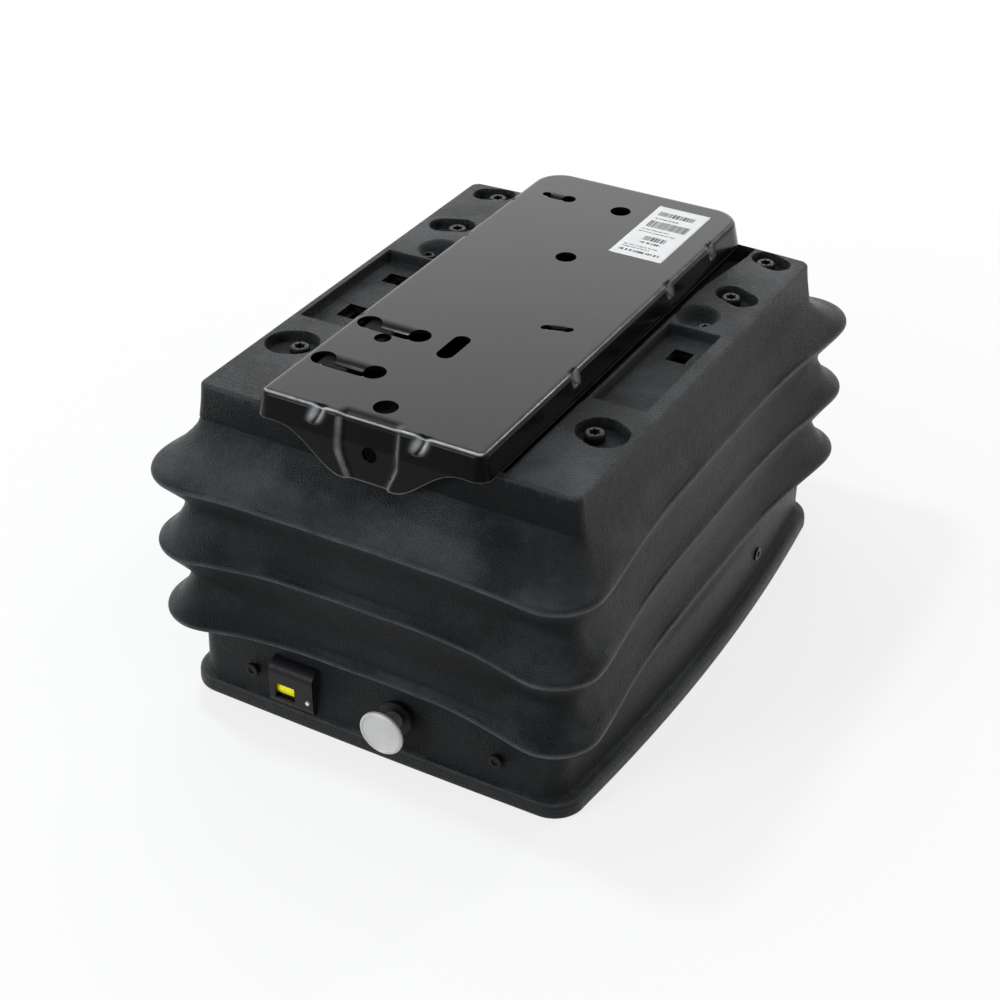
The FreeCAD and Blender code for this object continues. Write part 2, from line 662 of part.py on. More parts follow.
def stepped_shaft(name, shoulder, along, height):
    """Cross shaft, thick between its shoulders and thin at both ends."""
    end, thin = "shaft_end", "axle_radius"
    turned(name, [
        ("0", f"-{end}"), (thin, f"-{end}", "1"), (thin, f"-({shoulder})"),
        ("shaft_radius", f"-({shoulder})"), ("shaft_radius", shoulder), (thin, shoulder),
        (thin, end, "1"), ("0", end),
    ], "x", ("0", along, height))


def shafts():
    """Front shafts carry the rollers; rear shafts are fixed in the brackets."""
    stepped_shaft("outer_front_shaft", "outer_arm_at - running_gap", "front_pivot", "high_pivot")
    stepped_shaft("inner_front_shaft", "inner_arm_at - running_gap", "front_pivot", "low_pivot")
    half = "outer_arm_at + arm_sheet + 1"
    for name, height in (("lower_pivot_shaft", "low_pivot"), ("upper_pivot_shaft", "high_pivot")):
        turned(name, [
            ("0", f"-({half})"), ("shaft_radius", f"-({half})", "1"),
            ("shaft_radius", half, "1"), ("0", half),
        ], "x", ("0", "rear_pivot", height))


def pair_of_tubes(name, inside, length, along, height, outer, inner):
    """Two rings on one axis, one at each side of the middle."""
    rings = []
    for side, sign in SIDES:
        near = mirrored_span(sign, inside, f"{inside} + {length}")[0]
        rings.append(tube(f"{name}_{side}", "x", (near, along, height), outer, inner, length))
    group(name, *rings)


def bushes():
    """Plain bushes in the arms' eyes, and the sleeves that keep the lower rollers out."""
    bore = "shaft_radius + running_gap"
    for name, inside, height in (("lower_pivot_bushes", "outer_arm_at", "low_pivot"),
                                 ("upper_pivot_bushes", "inner_arm_at", "high_pivot")):
        pair_of_tubes(name, inside, "arm_sheet", "rear_pivot", height, "bush_radius", bore)
    pair_of_tubes("centre_bushes", "inner_arm_at", "outer_arm_at - inner_arm_at - fit_gap",
                  "middle_along", "middle_height", "centre_bush", "axle_radius + running_gap")
    sleeve = "inner_arm_at + arm_sheet + running_gap"
    pair_of_tubes("roller_sleeves", sleeve, f"roller_at - fit_gap - ({sleeve})",
                  "front_pivot", "low_pivot", "shaft_radius", "axle_radius + running_gap")


def centre_bolts():
    """Shouldered bolts through each pair of crossed arms, with a head and a nut."""
    bolts = []
    head, thick = "axle_radius * 1.8", "5"
    inner_face, outer_face = "inner_arm_at - fit_gap", "outer_arm_at + arm_sheet + fit_gap"
    for side, sign in SIDES:
        body = turned(f"centre_bolt_{side}", [
            ("0", f"{inner_face} - {thick}"), (head, f"{inner_face} - {thick}", "1"),
            (head, inner_face), ("axle_radius", inner_face), ("axle_radius", outer_face),
            (head, outer_face), (head, f"{outer_face} + {thick}", "2"),
            ("0", f"{outer_face} + {thick}"),
        ], "x", ("0", "middle_along", "middle_height"))
        if sign < 0:
            body.Placement.Rotation = FreeCAD.Rotation(Vec(0, -1, 0), 90)
        bolts.append(body)
    group("centre_pivot_bolts", *bolts)


def roller(name, sign, height):
    """Guide roller with a crowned tread, bored for its axle."""
    crown, bore = "roller_radius - 1", "axle_radius + running_gap"
    body = turned(name, [
        (bore, "0"), (crown, "0"), ("roller_radius", "1.5"),
        ("roller_radius", "roller_width - 1.5"), (crown, "roller_width"), (bore, "roller_width"),
    ], "x", ("roller_at", "front_pivot", height))
    if sign < 0:
        bind(body, Place_x="-roller_at - roller_width")


def rollers():
    for side, sign in SIDES:
        roller(f"upper_roller_{side}", sign, "high_pivot")
        roller(f"lower_roller_{side}", sign, "low_pivot")
    for name, height in (("upper_roller_clips", "high_pivot"), ("lower_roller_clips", "low_pivot")):
        pair_of_tubes(name, "roller_at + roller_width + fit_gap", "1", "front_pivot", height,
                      "axle_radius + 2", "axle_radius + running_gap")


def damper():
    """Level gas damper between the lower halves of the arms, each end on a stub pin."""
    eye_half, eye, bore = "10", "damper_eye", "damper_pin / 2 + running_gap"
    radius, cavity = "damper_diameter / 2", "damper_diameter / 2 - damper_wall"
    tail = "damper_rear - damper_eye * 0.8"
    mouth = f"{tail} - damper_tube"
    rod_radius = "damper_rod_diameter / 2"
    shell = turned("damper_shell", [
        ("0", "0"), (radius, "0", "3"), (radius, "damper_tube", "2"),
        (f"{rod_radius} + running_gap", "damper_tube"),
        (f"{rod_radius} + running_gap", "damper_tube - 8"),
        (cavity, "damper_tube - 8"), (cavity, "6"), ("0", "6"),
    ], "y", ("damper_at", tail, "damper_height"))
    shell.Placement.Rotation = FreeCAD.Rotation(Vec(1, 0, 0), 90)
    rear = ("damper_at - 10", "damper_rear", "damper_height")
    front = ("damper_at - 10", "damper_front", "damper_height")
    width = f"2 * {eye_half}"
    cut("damper_cylinder",
        fuse("damper_cylinder_body", shell, rod("damper_rear_eye", "x", rear, eye, width)),
        rod("damper_rear_bore", "x", rear, bore, width))
    reach = f"damper_rear - 2 * damper_eye - 6 - ({mouth})"
    start = "damper_front + damper_eye * 0.8"
    stem = rod("damper_stem", "y", ("damper_at", start, "damper_height"),
               rod_radius, f"{mouth} + {reach} - ({start})")
    piston = rod("damper_piston", "y", ("damper_at", f"{mouth} + {reach} - 8", "damper_height"),
                 f"{cavity} - 2 * running_gap", "8")
    cut("damper_rod",
        fuse("damper_rod_body", stem, piston,
             rod("damper_front_eye", "x", front, eye, width)),
        rod("damper_front_bore", "x", front, bore, width))
    inner_end = f"damper_at + {eye_half} + 2"
    for name, along, outside in (
        ("damper_rear_pin", "damper_rear", "-outer_arm_at - arm_sheet - 1"),
        ("damper_front_pin", "damper_front", "-inner_arm_at - arm_sheet - 1"),
    ):
        body = turned(name, [
            ("0", "0"), ("damper_pin / 2", "0", "1"),
            ("damper_pin / 2", f"{inner_end} - ({outside})", "1"),
            ("0", f"{inner_end} - ({outside})"),
        ], "x", (outside, along, "damper_height"))


def air_spring():
    """Rolling-lobe air spring: moulded piston, folded rubber sleeve and steel cap."""
    at = ("spring_across", "spring_along", "base_sheet")
    top = "piston_height"
    turned("air_spring_piston", [
        ("0", "0"), ("piston_radius", "0", "2"),
        ("piston_radius", f"{top} - 16", "4"), ("piston_radius - 4", f"{top} - 12", "1"),
        ("piston_radius - 4", top, "3"), ("0", top),
    ], "z", at)
    outer, wall = "spring_radius", "spring_rubber"
    inner = "piston_radius + fit_gap"
    fold = f"({outer} - ({inner})) / 2"
    low, high = f"{top} - 34", "upper_bottom - cap_depth - base_sheet - fit_gap"
    turned("air_spring_sleeve", [
        (inner, low, f"{fold} * 0.98"), (outer, low, f"{fold} * 0.98"),
        (outer, f"{high} - 12", "14"), (f"{outer} - 4", high),
        (f"{outer} - 4 - {wall}", high), (f"{outer} - {wall}", f"{high} - 12", "10"),
        (f"{outer} - {wall}", f"{low} + {wall}", f"{fold} * 0.98 - {wall}"),
        (f"{inner} + {wall}", f"{low} + {wall}", f"{fold} * 0.98 - {wall}"),
        (f"{inner} + {wall}", f"{top} - 16"), (inner, f"{top} - 16"),
    ], "z", at)
    tube("air_spring_clamp", "z", ("spring_across", "spring_along", f"base_sheet + {top} - 26"),
         f"{inner} + {wall} + 2", f"{inner} + {wall} + running_gap", "clamp_height")
    turned("air_spring_cap", [
        ("0", "0"), (f"{outer} - 3", "0"), (f"{outer} - 2", "2"), (f"{outer} - 2", "5", "1"),
        (f"{outer} * 0.6", "5"), (f"{outer} * 0.6", "cap_depth"), ("0", "cap_depth"),
    ], "z", ("spring_across", "spring_along", "upper_bottom - cap_depth"))


def bowed(start, end, waist):
    """A side of a contour: straight, or an arc that swells by its waist."""
    if abs(waist) < 0.01:
        return Part.makeLine(start, end)
    outward = (end - start).normalize().cross(UP)
    return Part.Arc(start, (start + end) / 2 + outward * waist, end).toShape()


def contour(half_across, half_along, corner, waist_across, waist_along, level):
    """Round-cornered rectangle whose sides swell, or draw in, by their waists."""
    nip = corner * (1 - math.sqrt(0.5))
    edges = []
    for turn in range(4):
        sides = ((half_across, half_along, waist_across), (half_along, half_across, waist_along))
        half, other, waist = sides[turn % 2]
        spin = FreeCAD.Rotation(UP, 90 * turn)
        start, end, knee, last = [
            spin.multVec(Vec(x, y, level)) for x, y in (
                (half, corner - other), (half, other - corner),
                (half - nip, other - nip), (half - corner, other),
            )
        ]
        edges.append(bowed(start, end, waist))
        edges.append(Part.Arc(end, knee, last).toShape())
    return Part.Wire(edges)


def gaiter_levels():
    """Outer sections of the gaiter, foot to deck: half sizes, corner, waists and level."""
    ridge = (size("ridge_half_width"), size("ridge_half_length"), size("ridge_corner"))
    crease = (size("crease_half_width"), size("crease_half_length"), size("crease_corner"))
    waist, pitch, nose = size("ridge_waist"), size("fold_pitch"), 3
    bead = (size("bead_half_width"), size("bead_half_length"), size("ridge_corner") * 0.6)
    foot = (size("skirt_half_width"), size("skirt_half_length"), size("crease_corner"))
    bulge, bead_top = size("skirt_bulge"), size("bead_height")
    deck = (size("deck_width") / 2, size("deck_length") / 2, size("deck_corner"))
    deck_top = size("deck_height")

    def shrunk(form, inset):
        return form[0] - inset, form[1] - inset, form[2]

    levels = [
        (*shrunk(bead, 2), bulge, 0, 0),
        (*bead, bulge, 0, 3),
        (*bead, bulge, 0, bead_top - 3),
        (*shrunk(bead, 3), bulge, 0, bead_top),
        (*foot, bulge, 0, bead_top + 1),
        (crease[0] - 3, crease[1] - 7, crease[2], waist * 0.6, 0, size("skirt_top")),
    ]
    for fold in range(3):
        level = size("low_ridge_height") + fold * pitch
        front_waist = waist * (1.5 if fold < 2 else 0.3)
        levels += [
            (*shrunk(ridge, 1.5), -waist, -front_waist, level - nose),
            (*shrunk(ridge, 1), -waist, -front_waist, level + nose),
            (*shrunk(ridge, 7), -waist * 0.7, -front_waist * 0.7, level + pitch * 0.2),
        ]
        if fold < 2:
            levels.append((*crease, -waist * 0.2, 0, level + pitch * 0.52))
    levels += [
        (deck[0] + 3.7, deck[1] + 0.7, deck[2] + 3, -1, 0, deck_top - size("band_depth")),
        (*deck, 0, 1, deck_top - 2),
        (*shrunk(deck, 1.5), 0, 1, deck_top),
    ]
    return levels


def loft(sections):
    return Part.makeLoft([contour(*section) for section in sections], True, True)


def gaiter_shell():
    """Moulded rubber shell: bead, skirt, three folds, upright band and flat deck."""
    outside = gaiter_levels()
    wall, plate_edge = size("rubber"), size("base_sheet") + size("fit_gap")
    edge = (
        size("base_width") / 2 + size("fit_gap"), size("base_length") / 2 + size("fit_gap"),
        size("base_corner") + size("fit_gap"), 0, 0,
    )
    hollow = [(*edge, -1), (*edge, plate_edge)]
    foot = outside[4]
    hollow.append((foot[0] - wall, foot[1] - wall, foot[2] - wall, *foot[3:5], plate_edge + 0.2))
    for width, length, corner, *rest in outside[4:-2]:
        hollow.append((width - wall, length - wall, max(corner - wall, 1.5), *rest))
    width, length, corner, *waists, level = outside[-2]
    hollow.append((width - wall, length - wall, corner - wall, *waists, size("deck_height") - wall))
    shell = doc.addObject("Part::Feature", "gaiter_shell")
    shell.Shape = loft(outside).cut(loft(hollow))
    return shell


def slot_block(name, middle, length, width, low, high, upright=False):
    """A block with round ends, lying across, or front to back if upright."""
    across, along = middle
    reach, radius = f"(({length}) - ({width})) / 2", f"({width}) / 2"
    half_across, half_along = (radius, reach) if upright else (reach, radius)
    block = box(f"{name}_middle", (f"{across} - {half_across}", f"{along} - {half_along}", low),
                (f"{across} + {half_across}", f"{along} + {half_along}", high))
    ends = []
    for sign in (-1, 1):
        shift = f"{sign} * {reach}"
        at = (across, f"{along} + {shift}") if upright else (f"{across} + {shift}", along)
        ends.append(rod(f"{name}_end_{sign + 1}", "z", (*at, low), radius, f"{high} - ({low})"))
    return fuse(name, block, *ends)


DECK_SCREWS = ("deck_screw_front", "deck_screw_middle", "deck_screw_rear")


def gaiter():
    """The gaiter with the pockets, trays and dishes moulded into its deck."""
    under, above = "upper_top", "deck_height + 1"
    solids, hollows = [gaiter_shell()], []
    hollows.append(box("deck_opening",
                       ("-deck_opening_across / 2", "-deck_opening_along / 2", "upper_top - 1"),
                       ("deck_opening_across / 2", "deck_opening_along / 2", above)))
    for side, sign in SIDES:
        across = f"{sign} * deck_screw_across"
        for along in DECK_SCREWS:
            tag = f"{along}_{side}"
            solids.append(slot_block(f"{tag}_cup", (across, along), "pocket_length + 2 * rubber",
                                     "pocket_width + 2 * rubber", under, "deck_height - 1"))
            hollows.append(slot_block(f"{tag}_pocket", (across, along), "pocket_length",
                                      "pocket_width", "tray_floor", above))
            hollows.append(rod(f"{tag}_hole", "z", (across, along, "upper_top - 1"),
                               "deck_screw / 2 + fit_gap", "deck_recess"))
        near, far = mirrored_span(sign, "tray_inside", "tray_outside")
        solids.append(box(f"tray_{side}_outside",
                          (f"{near} - rubber", "tray_front - rubber", under),
                          (f"{far} + rubber", "tray_rear + rubber", "deck_height - 1")))
        hollows.append(box(f"tray_{side}_inside", (near, "tray_front", "tray_floor"),
                           (far, "tray_rear", above)))
        solids.append(rod(f"dish_{side}_outside", "z", (across, "dish_along", under),
                          "dish_radius + rubber", "deck_recess + rubber - 1"))
        dish = solid("Cone", f"dish_{side}_inside", (across, "dish_along", "upper_top - 0.5"),
                     Radius1="dish_radius - 5", Radius2="dish_radius",
                     Height="deck_recess + rubber + 1")
        dish.Angle = 360
        hollows.append(dish)
    for name, *place in SQUARE_HOLES:
        hollows.append(square_hole(f"{name}_rubber", *place, "upper_top - 1", "tray_floor + 1"))
    hollows.append(rod("knob_passage", "y", ("knob_across", "-dial_front - 10", "knob_height"),
                       "bushing_radius + fit_gap", "40"))
    hollows.append(box("dial_passage",
                       ("dial_across - dial_width / 2 - fit_gap", "-dial_front - 10",
                        "dial_foot - fit_gap"),
                       ("dial_across + dial_width / 2 + fit_gap", "-wall_front + 20",
                        "dial_foot + dial_tall + fit_gap")))
    for sign in (-1, 1):
        at = (f"{sign} * front_screw_across", "-dial_front - 10", "front_screw_height")
        hollows.append(rod(f"front_screw_passage_{sign + 1}", "y", at, "screw_hole", "40"))
    hollows.append(rod("side_screw_passage", "x",
                       ("-ridge_half_width", "side_screw_along", "side_screw_height"),
                       "screw_hole", "2 * ridge_half_width"))
    cut("gaiter", fuse("gaiter_rubber", *solids), *hollows)


# Square holes in the trays: name, place and size
SQUARE_HOLES = (
    ("left_front", "-122", "-38", 15, 20), ("left_rear", "-122", "21", 15, 15),
    ("right_rear", "120", "20", 15, 17),
)


def square_hole(name, across, along, width, length, low, high):
    return box(name, (f"{across} - {width} / 2", f"{along} - {length} / 2", low),
               (f"{across} + {width} / 2", f"{along} + {length} / 2", high))


def upper_pan():
    """Steel plate under the rubber deck, with folded sides outside the upper rails."""
    half = "upper_width / 2"
    top = box("upper_pan_top", (f"-({half})", "-upper_length / 2", "upper_bottom"),
              (half, "upper_length / 2", "upper_top"))
    walls = []
    for sign in (-1, 1):
        near, far = mirrored_span(sign, f"{half} - upper_sheet", half)
        walls.append(box(f"upper_pan_side_{sign + 1}",
                         (near, "-upper_length / 2", "upper_top - upper_skirt"),
                         (far, "upper_length / 2", "upper_top")))
        low, high = mirrored_span(sign, "upper_length / 2 - upper_sheet", "upper_length / 2")
        walls.append(box(f"upper_pan_end_{sign + 1}",
                         (f"-({half})", low, "upper_top - upper_skirt / 2"),
                         (half, high, "upper_top")))
    holes = [
        rod(f"pan_{along}_{side}", "z", (f"{sign} * deck_screw_across", along, "upper_bottom - 1"),
            "deck_screw / 2 + running_gap", "upper_sheet + 2")
        for side, sign in SIDES for along in DECK_SCREWS
    ]
    holes += [
        square_hole(f"{name}_steel", *place, "upper_bottom - 1", "upper_top + 1")
        for name, *place in SQUARE_HOLES
    ]
    cut("upper_pan", fuse("upper_pan_sheet", top, *walls), *holes)


def deck_screws():
    """Socket-headed screws that hold the rubber deck down on the upper pan."""
    screws = []
    head, shank, tip = "deck_screw_head / 2", "deck_screw / 2", "-rubber - upper_sheet"
    for side, sign in SIDES:
        across = f"{sign} * deck_screw_across"
        for along in DECK_SCREWS:
            body = turned(f"screw_{along}_{side}", [
                ("0", tip), (shank, tip), (shank, "0"), (head, "0"), (head, "3", "1.5"),
                (f"{head} * 0.45", "4"), (f"{head} * 0.4", "1.5"), ("0", "1.5"),
            ], "z", (across, along, "tray_floor + running_gap"))
            screws.append(body)
        screws.append(rod(f"dish_bolt_{side}", "z", (across, "dish_along", "upper_top"),
                          "deck_screw_head * 0.4", "4"))
    group("deck_screws", *screws)


def carriers():
    """Folded channels that carry the seat plate on the upper pan."""
    channels = []
    for side, sign in SIDES:
        name = f"plate_carrier_{side}"
        body = new_body(name)
        near, far = mirrored_span(sign, "carrier_at", "carrier_at + carrier_width")
        section = new_sketch(body, f"{name}_section", "XZ_Plane", "-carrier_length / 2")
        top, gauge = "plate_top - plate_sheet - running_gap", "upper_sheet"
        outline(section, [
            (near, "upper_top"), (f"{near} + {gauge}", "upper_top"),
            (f"{near} + {gauge}", f"{top} - {gauge}"), (f"{far} - {gauge}", f"{top} - {gauge}"),
            (f"{far} - {gauge}", "upper_top"), (far, "upper_top"), (far, top, gauge),
            (near, top, gauge),
        ])
        pad(body, section, "carrier_length")
        channels.append(body)
    group("plate_carriers", *channels)


# Lanced tabs: name, middle across, along, distance between the end holes, their radii
PLATE_TABS = (
    ("long_front", "-0.3 * plate_width", "-146", "41", "9", "9"),
    ("long_rear", "-0.3 * plate_width", "-87.5", "41", "9", "9"),
    ("short_left", "-0.32 * plate_width", "162", "19.5", "3.5", "5.8"),
    ("short_right", "0.27 * plate_width", "-30.5", "15", "3.6", "3.6"),
)
SIDE_DARTS = ("-78", "70", "143")


def plate_block(name, inset, foot):
    """Tapered block with round top edges: the seat plate's outside, or its hollow."""
    body = new_body(name)
    plan = new_sketch(body, f"{name}_plan", "XY_Plane", f"plate_top - {inset}")
    half, front = f"plate_width / 2 - ({inset})", f"-plate_front + {inset}"
    rear, bend = f"plate_rear - ({inset})", f"plate_bend - {inset}"
    round_end = f"plate_rear_corner - {inset}"
    outline(plan, [
        (f"-({half})", front, bend), (half, front, bend),
        (half, rear, round_end), (f"-({half})", rear, round_end),
    ])
    block = pad(body, plan, f"plate_top - {inset} - ({foot})", back=True)
    block.setExpression("TaperAngle", cells("plate_slope"))
    top = size(f"plate_top - {inset}")
    fillet(body, bend, lambda edge, middle: middle.z > top - 0.01)
    return body


def seat_plate():
    """Folded and pressed steel plate: sloping aprons, darts across the bends, front tongue."""
    outside = plate_block("seat_plate_outside", "0", "deck_height + fit_gap")
    hollow = plate_block("seat_plate_hollow", "plate_sheet", "deck_height - 1")
    grooves = darts("dart_groove", "dart_radius")
    backs = darts("dart_back", "dart_radius + plate_sheet")
    backing = doc.addObject("Part::MultiCommon", "dart_backing")
    backing.Shapes = [outside, fuse("dart_backs", *backs)]
    tongue = new_body("seat_plate_tongue")
    shape = new_sketch(tongue, "seat_plate_tongue_face", "XZ_Plane", "plate_foot_front")
    foot, shoulder = "deck_height - tongue_depth", "deck_height + fit_gap"
    outline(shape, [
        ("-tongue_foot_half", foot, "9"), ("tongue_foot_half", foot, "9"),
        ("tongue_top_half * 0.72", f"{shoulder} - 4.5", "30"), ("tongue_top_half", shoulder),
        ("tongue_top_half", f"{shoulder} + 2"), ("-tongue_top_half", f"{shoulder} + 2"),
        ("-tongue_top_half", shoulder), ("-tongue_top_half * 0.72", f"{shoulder} - 4.5", "30"),
    ])
    pad(tongue, shape, "plate_sheet", back=True)
    ribs = new_sketch(tongue, "seat_plate_ribs", "XZ_Plane", "plate_foot_front + 1.6")
    for sign in (-1, 1):
        near, far = ("0.8 * tongue_foot_half", "0.8 * tongue_foot_half + 3")
        outline(ribs, [
            (f"{sign} * ({near})", f"{foot} + 3"), (f"{sign} * ({far})", f"{foot} + 3"),
            (f"{sign} * ({far} + 6)", "plate_top - 6"), (f"{sign} * ({near} + 6)", "plate_top - 6"),
        ])
    pad(tongue, ribs, "plate_sheet", back=True)
    holes = [rod("tongue_bore", "y", ("0", "-plate_foot_front - 5", "deck_height - 6"),
                 "tongue_hole / 2", "12")]
    low, high = "plate_top - plate_sheet - 2", "plate_top + 1"
    holes.append(slot_block("plate_slot", ("-2.5", "-89.5"), "34.5", "13", low, high, upright=True))
    tabs = []
    for name, across, along, spacing, left, right in PLATE_TABS:
        ends = (f"{across} - {spacing} / 2", f"{across} + {spacing} / 2")
        front, rear = f"{along} - 0.55 * {left}", f"{along} + 0.9 * {left}"
        holes += [
            rod(f"{name}_hole_{side}", "z", (end, along, low), radius, "plate_sheet + 3")
            for side, end, radius in (("left", ends[0], left), ("right", ends[1], right))
        ]
        holes.append(box(f"{name}_slit", (ends[0], front, low), (ends[1], rear, high)))
        tabs.append(box(f"{name}_tab",
                        (f"{ends[0]} + {left} * 0.8", f"{along} + 0.1 * {left}",
                         "plate_top - plate_sheet"),
                        (f"{ends[1]} - {right} * 0.8", rear, "plate_top - 0.8")))
    for index, (across, along, radius) in enumerate(PLATE_HOLES):
        holes.append(rod(f"plate_hole_{index}", "z", (across, along, "plate_top - plate_sheet - 2"),
                         radius, "plate_sheet + 3"))
    folded = cut("seat_plate_folded", outside, hollow)
    steel = fuse("seat_plate_steel", folded, backing, tongue)
    fuse("seat_plate", cut("seat_plate_pressed", steel, *grooves, *holes), *tabs)


PLATE_HOLES = (
    ("0", "seat_hole_first", "seat_hole / 2"),
    ("0", "seat_hole_first + seat_hole_pitch", "seat_hole / 2"),
    ("0", "-181", "8.7"), ("-0.3 * plate_width", "-102.5", "6"),
)


def darts(name, radius):
    """Slanting rods across the side bends and the front bend."""
    lines = [
        (sign * 1.0, 0.0, f"{sign} * (plate_width / 2 - 14.1)", along)
        for sign in (-1, 1) for along in SIDE_DARTS
    ]
    lines += [(0.0, -1.0, across, "-plate_front + 14.1") for across in ("-40", "40")]
    rods = []
    for index, (lean_across, lean_along, across, along) in enumerate(lines):
        obj = doc.addObject("Part::Cylinder", f"{name}_{index}")
        obj.Placement.Rotation = FreeCAD.Rotation(UP, Vec(lean_across, lean_along, -1))
        bind(obj, Radius=radius, Height="40")
        bind(obj, Place_x=across, Place_y=along, Place_z="plate_top + 14.1")
        rods.append(obj)
    return rods


def label():
    """Paper label on the seat plate."""
    box("rating_label",
        ("label_across - label_width / 2", "label_along - label_length / 2", "plate_top"),
        ("label_across + label_width / 2", "label_along + label_length / 2", "plate_top + 0.2"))


def adjuster():
    """Push-pull adjuster: disc, stem, the collar it slides in, and the valve it works."""
    disc, rim = "knob_diameter / 2", "3.6"
    turned("adjuster_knob", [
        ("0", "1"), (f"{disc} - 3", "1", "2"), (f"{disc} - 2", "0"), (disc, "1.2", "1"),
        (disc, rim, "1"), ("stem_radius + 1", f"{rim} + 1"), ("stem_radius + 1", "knob_hub"),
        ("0", "knob_hub"),
    ], "y", ("knob_across", "-knob_face", "knob_height"))
    rod("adjuster_stem", "y", ("knob_across", "knob_hub - knob_face", "knob_height"), "stem_radius",
        "knob_face - knob_hub - valve_front + 14")
    flange, bore = "bushing_radius + 3", "stem_radius + running_gap"
    turned("adjuster_bushing", [
        (bore, "0"), (flange, "0", "1"), (flange, "3"), ("bushing_radius", "3"),
        ("bushing_radius", "19"), (bore, "19"),
    ], "y", ("knob_across", "-valve_front - 20.5", "knob_height"))
    low, high = "knob_height - stem_radius - 11", "valve_top"
    left, right = "knob_across - valve_width / 2", "knob_across + valve_width / 2"
    block = box("valve_block", (left, "-valve_front", low), (right, "-valve_back", high))
    ports = box("valve_ports", (left, "-valve_back - 12", "base_sheet + running_gap"),
                (right, "-valve_back", high))
    cap = rod("valve_cap", "z", ("knob_across", "-valve_back - 12", high), "9", "4")
    cut("control_valve", fuse("valve_casting", block, ports, cap),
        rod("valve_bore", "y", ("knob_across", "-valve_front - 1", "knob_height"),
            "stem_radius + running_gap", "26"))
    body = new_body("valve_bracket")
    profile = new_sketch(body, "valve_bracket_section", "XZ_Plane", "valve_back + 13")
    top = f"{low} - running_gap"
    outline(profile, [
        (left, "base_sheet"), (f"{left} + 3", "base_sheet"), (f"{left} + 3", f"{top} - 3"),
        (f"{right} - 3", f"{top} - 3"), (f"{right} - 3", "base_sheet"), (right, "base_sheet"),
        (right, top, "2"), (left, top, "2"),
    ])
    pad(body, profile, "valve_front - valve_back - 14")


def indicator():
    """Height and load indicator: housing, drum on its axle, and a small pin."""
    low, high = "dial_foot", "dial_foot + dial_tall"
    left, right = "dial_across - dial_width / 2", "dial_across + dial_width / 2"
    body = new_body("dial_case")
    side = new_sketch(body, "dial_case_side", "YZ_Plane", left)
    back = "-wall_front + 8"
    outline(side, [
        ("-dial_front", low, "5"), (back, low), (back, high), ("-dial_front", high, "9"),
    ])
    pad(body, side, "dial_width")
    axle_y, axle_z = "drum_radius + 3 - dial_front", "dial_foot + drum_radius + 4"
    room_left, room_right = f"{left} + 3", f"{left} + 25"
    room = box("dial_room", (room_left, "2 - dial_front", f"{axle_z} - drum_radius - 1"),
               (room_right, f"{back} + 1", f"{axle_z} + drum_radius + 1"))
    window = box("dial_window", (f"{room_left} + 2", "-dial_front - 1", f"{axle_z} - 6.5"),
                 (f"{room_right} - 3", "3 - dial_front", f"{axle_z} + 6.5"))
    slot = rod("dial_axle_hole", "x", (f"{left} + 1", axle_y, axle_z), "1.5 + running_gap", "26")
    pin_at = (f"{right} - 4", "-dial_front - 1.5", f"{axle_z} - 1")
    cut("indicator_housing", body, room, window, slot,
        rod("dial_pin_hole", "y", pin_at, "1.6 + running_gap", "10"))
    rod("indicator_pin", "y", pin_at, "1.6", "10")
    rod("indicator_axle", "x", (f"{left} + 1.2", axle_y, axle_z), "1.5", "25.6")
    tube("indicator_drum", "x", (f"{room_left} + 1", axle_y, axle_z), "drum_radius",
         "1.5 + running_gap", "20")


def skirt_screws():
    """Washer-headed screws that hold the gaiter's skirt to the wall of the base pan."""
    shank, head = "skirt_screw / 2", "skirt_screw * 0.9"
    screws = []
    places = [
        ("y", (f"{sign} * front_screw_across", "-skirt_half_length - 1.5", "front_screw_height"),
         "skirt_half_length + 1.5 - wall_front + 2 * base_sheet", 0) for sign in (-1, 1)
    ]
    places += [("x", ("-side_screw_reach", "side_screw_along", "side_screw_height"),
                "side_screw_reach - wall_width / 2 + 2 * base_sheet", 0),
               ("x", ("side_screw_reach", "side_screw_along", "side_screw_height"),
                "side_screw_reach - wall_width / 2 + 2 * base_sheet", 1)]
    for index, (axis, at, length, flip) in enumerate(places):
        body = turned(f"skirt_screw_{index}", [
            (f"{head} * 0.4", "1"), (f"{head} * 0.5", "0"), (head, "0", "0.8"), (head, "2.5"),
            (shank, "2.5"), (shank, length), ("0", length), ("0", "1"),
        ], axis, at)
        if flip:
            body.Placement.Rotation = FreeCAD.Rotation(Vec(0, -1, 0), 90)
        screws.append(body)
    group("skirt_screws", *screws)


def compressor():
    """Small electric compressor on the base pan behind the rear pivot shaft."""
    start, head = "-motor_length * 0.75", "motor_length * 0.25"
    turned("compressor_motor", [
        ("0", "0"), ("motor_radius * 0.4", "0"), ("motor_radius * 0.4", "4"),
        ("motor_radius", "4", "3"), ("motor_radius", "motor_length"), ("0", "motor_length"),
    ], "x", (start, "motor_along", "motor_height"))
    front, back = "motor_along - motor_radius", "motor_along + motor_radius"
    block = box("compressor_block", (f"{head} + running_gap", front, "base_sheet"),
                (f"{head} + head_length", back, "motor_height + motor_radius"))
    fins = [
        box(f"fin_gap_{index}", (f"{head} + {index + 1.2} * fin_pitch", f"{front} - 1",
                                     "motor_height + motor_radius / 3"),
            (f"{head} + {index + 1.7} * fin_pitch", f"{back} + 1",
             "motor_height + motor_radius + 1"))
        for index in range(4)
    ]
    cut("compressor_head", block, *fins)
    cradle = box("saddle_block", ("-45", f"{front} - 1", "base_sheet"),
                 ("-25", f"{back} + 1", "motor_height"))
    cut("compressor_saddle", cradle,
        rod("saddle_seat", "x", ("-46", "motor_along", "motor_height"),
            "motor_radius + running_gap", "22"))


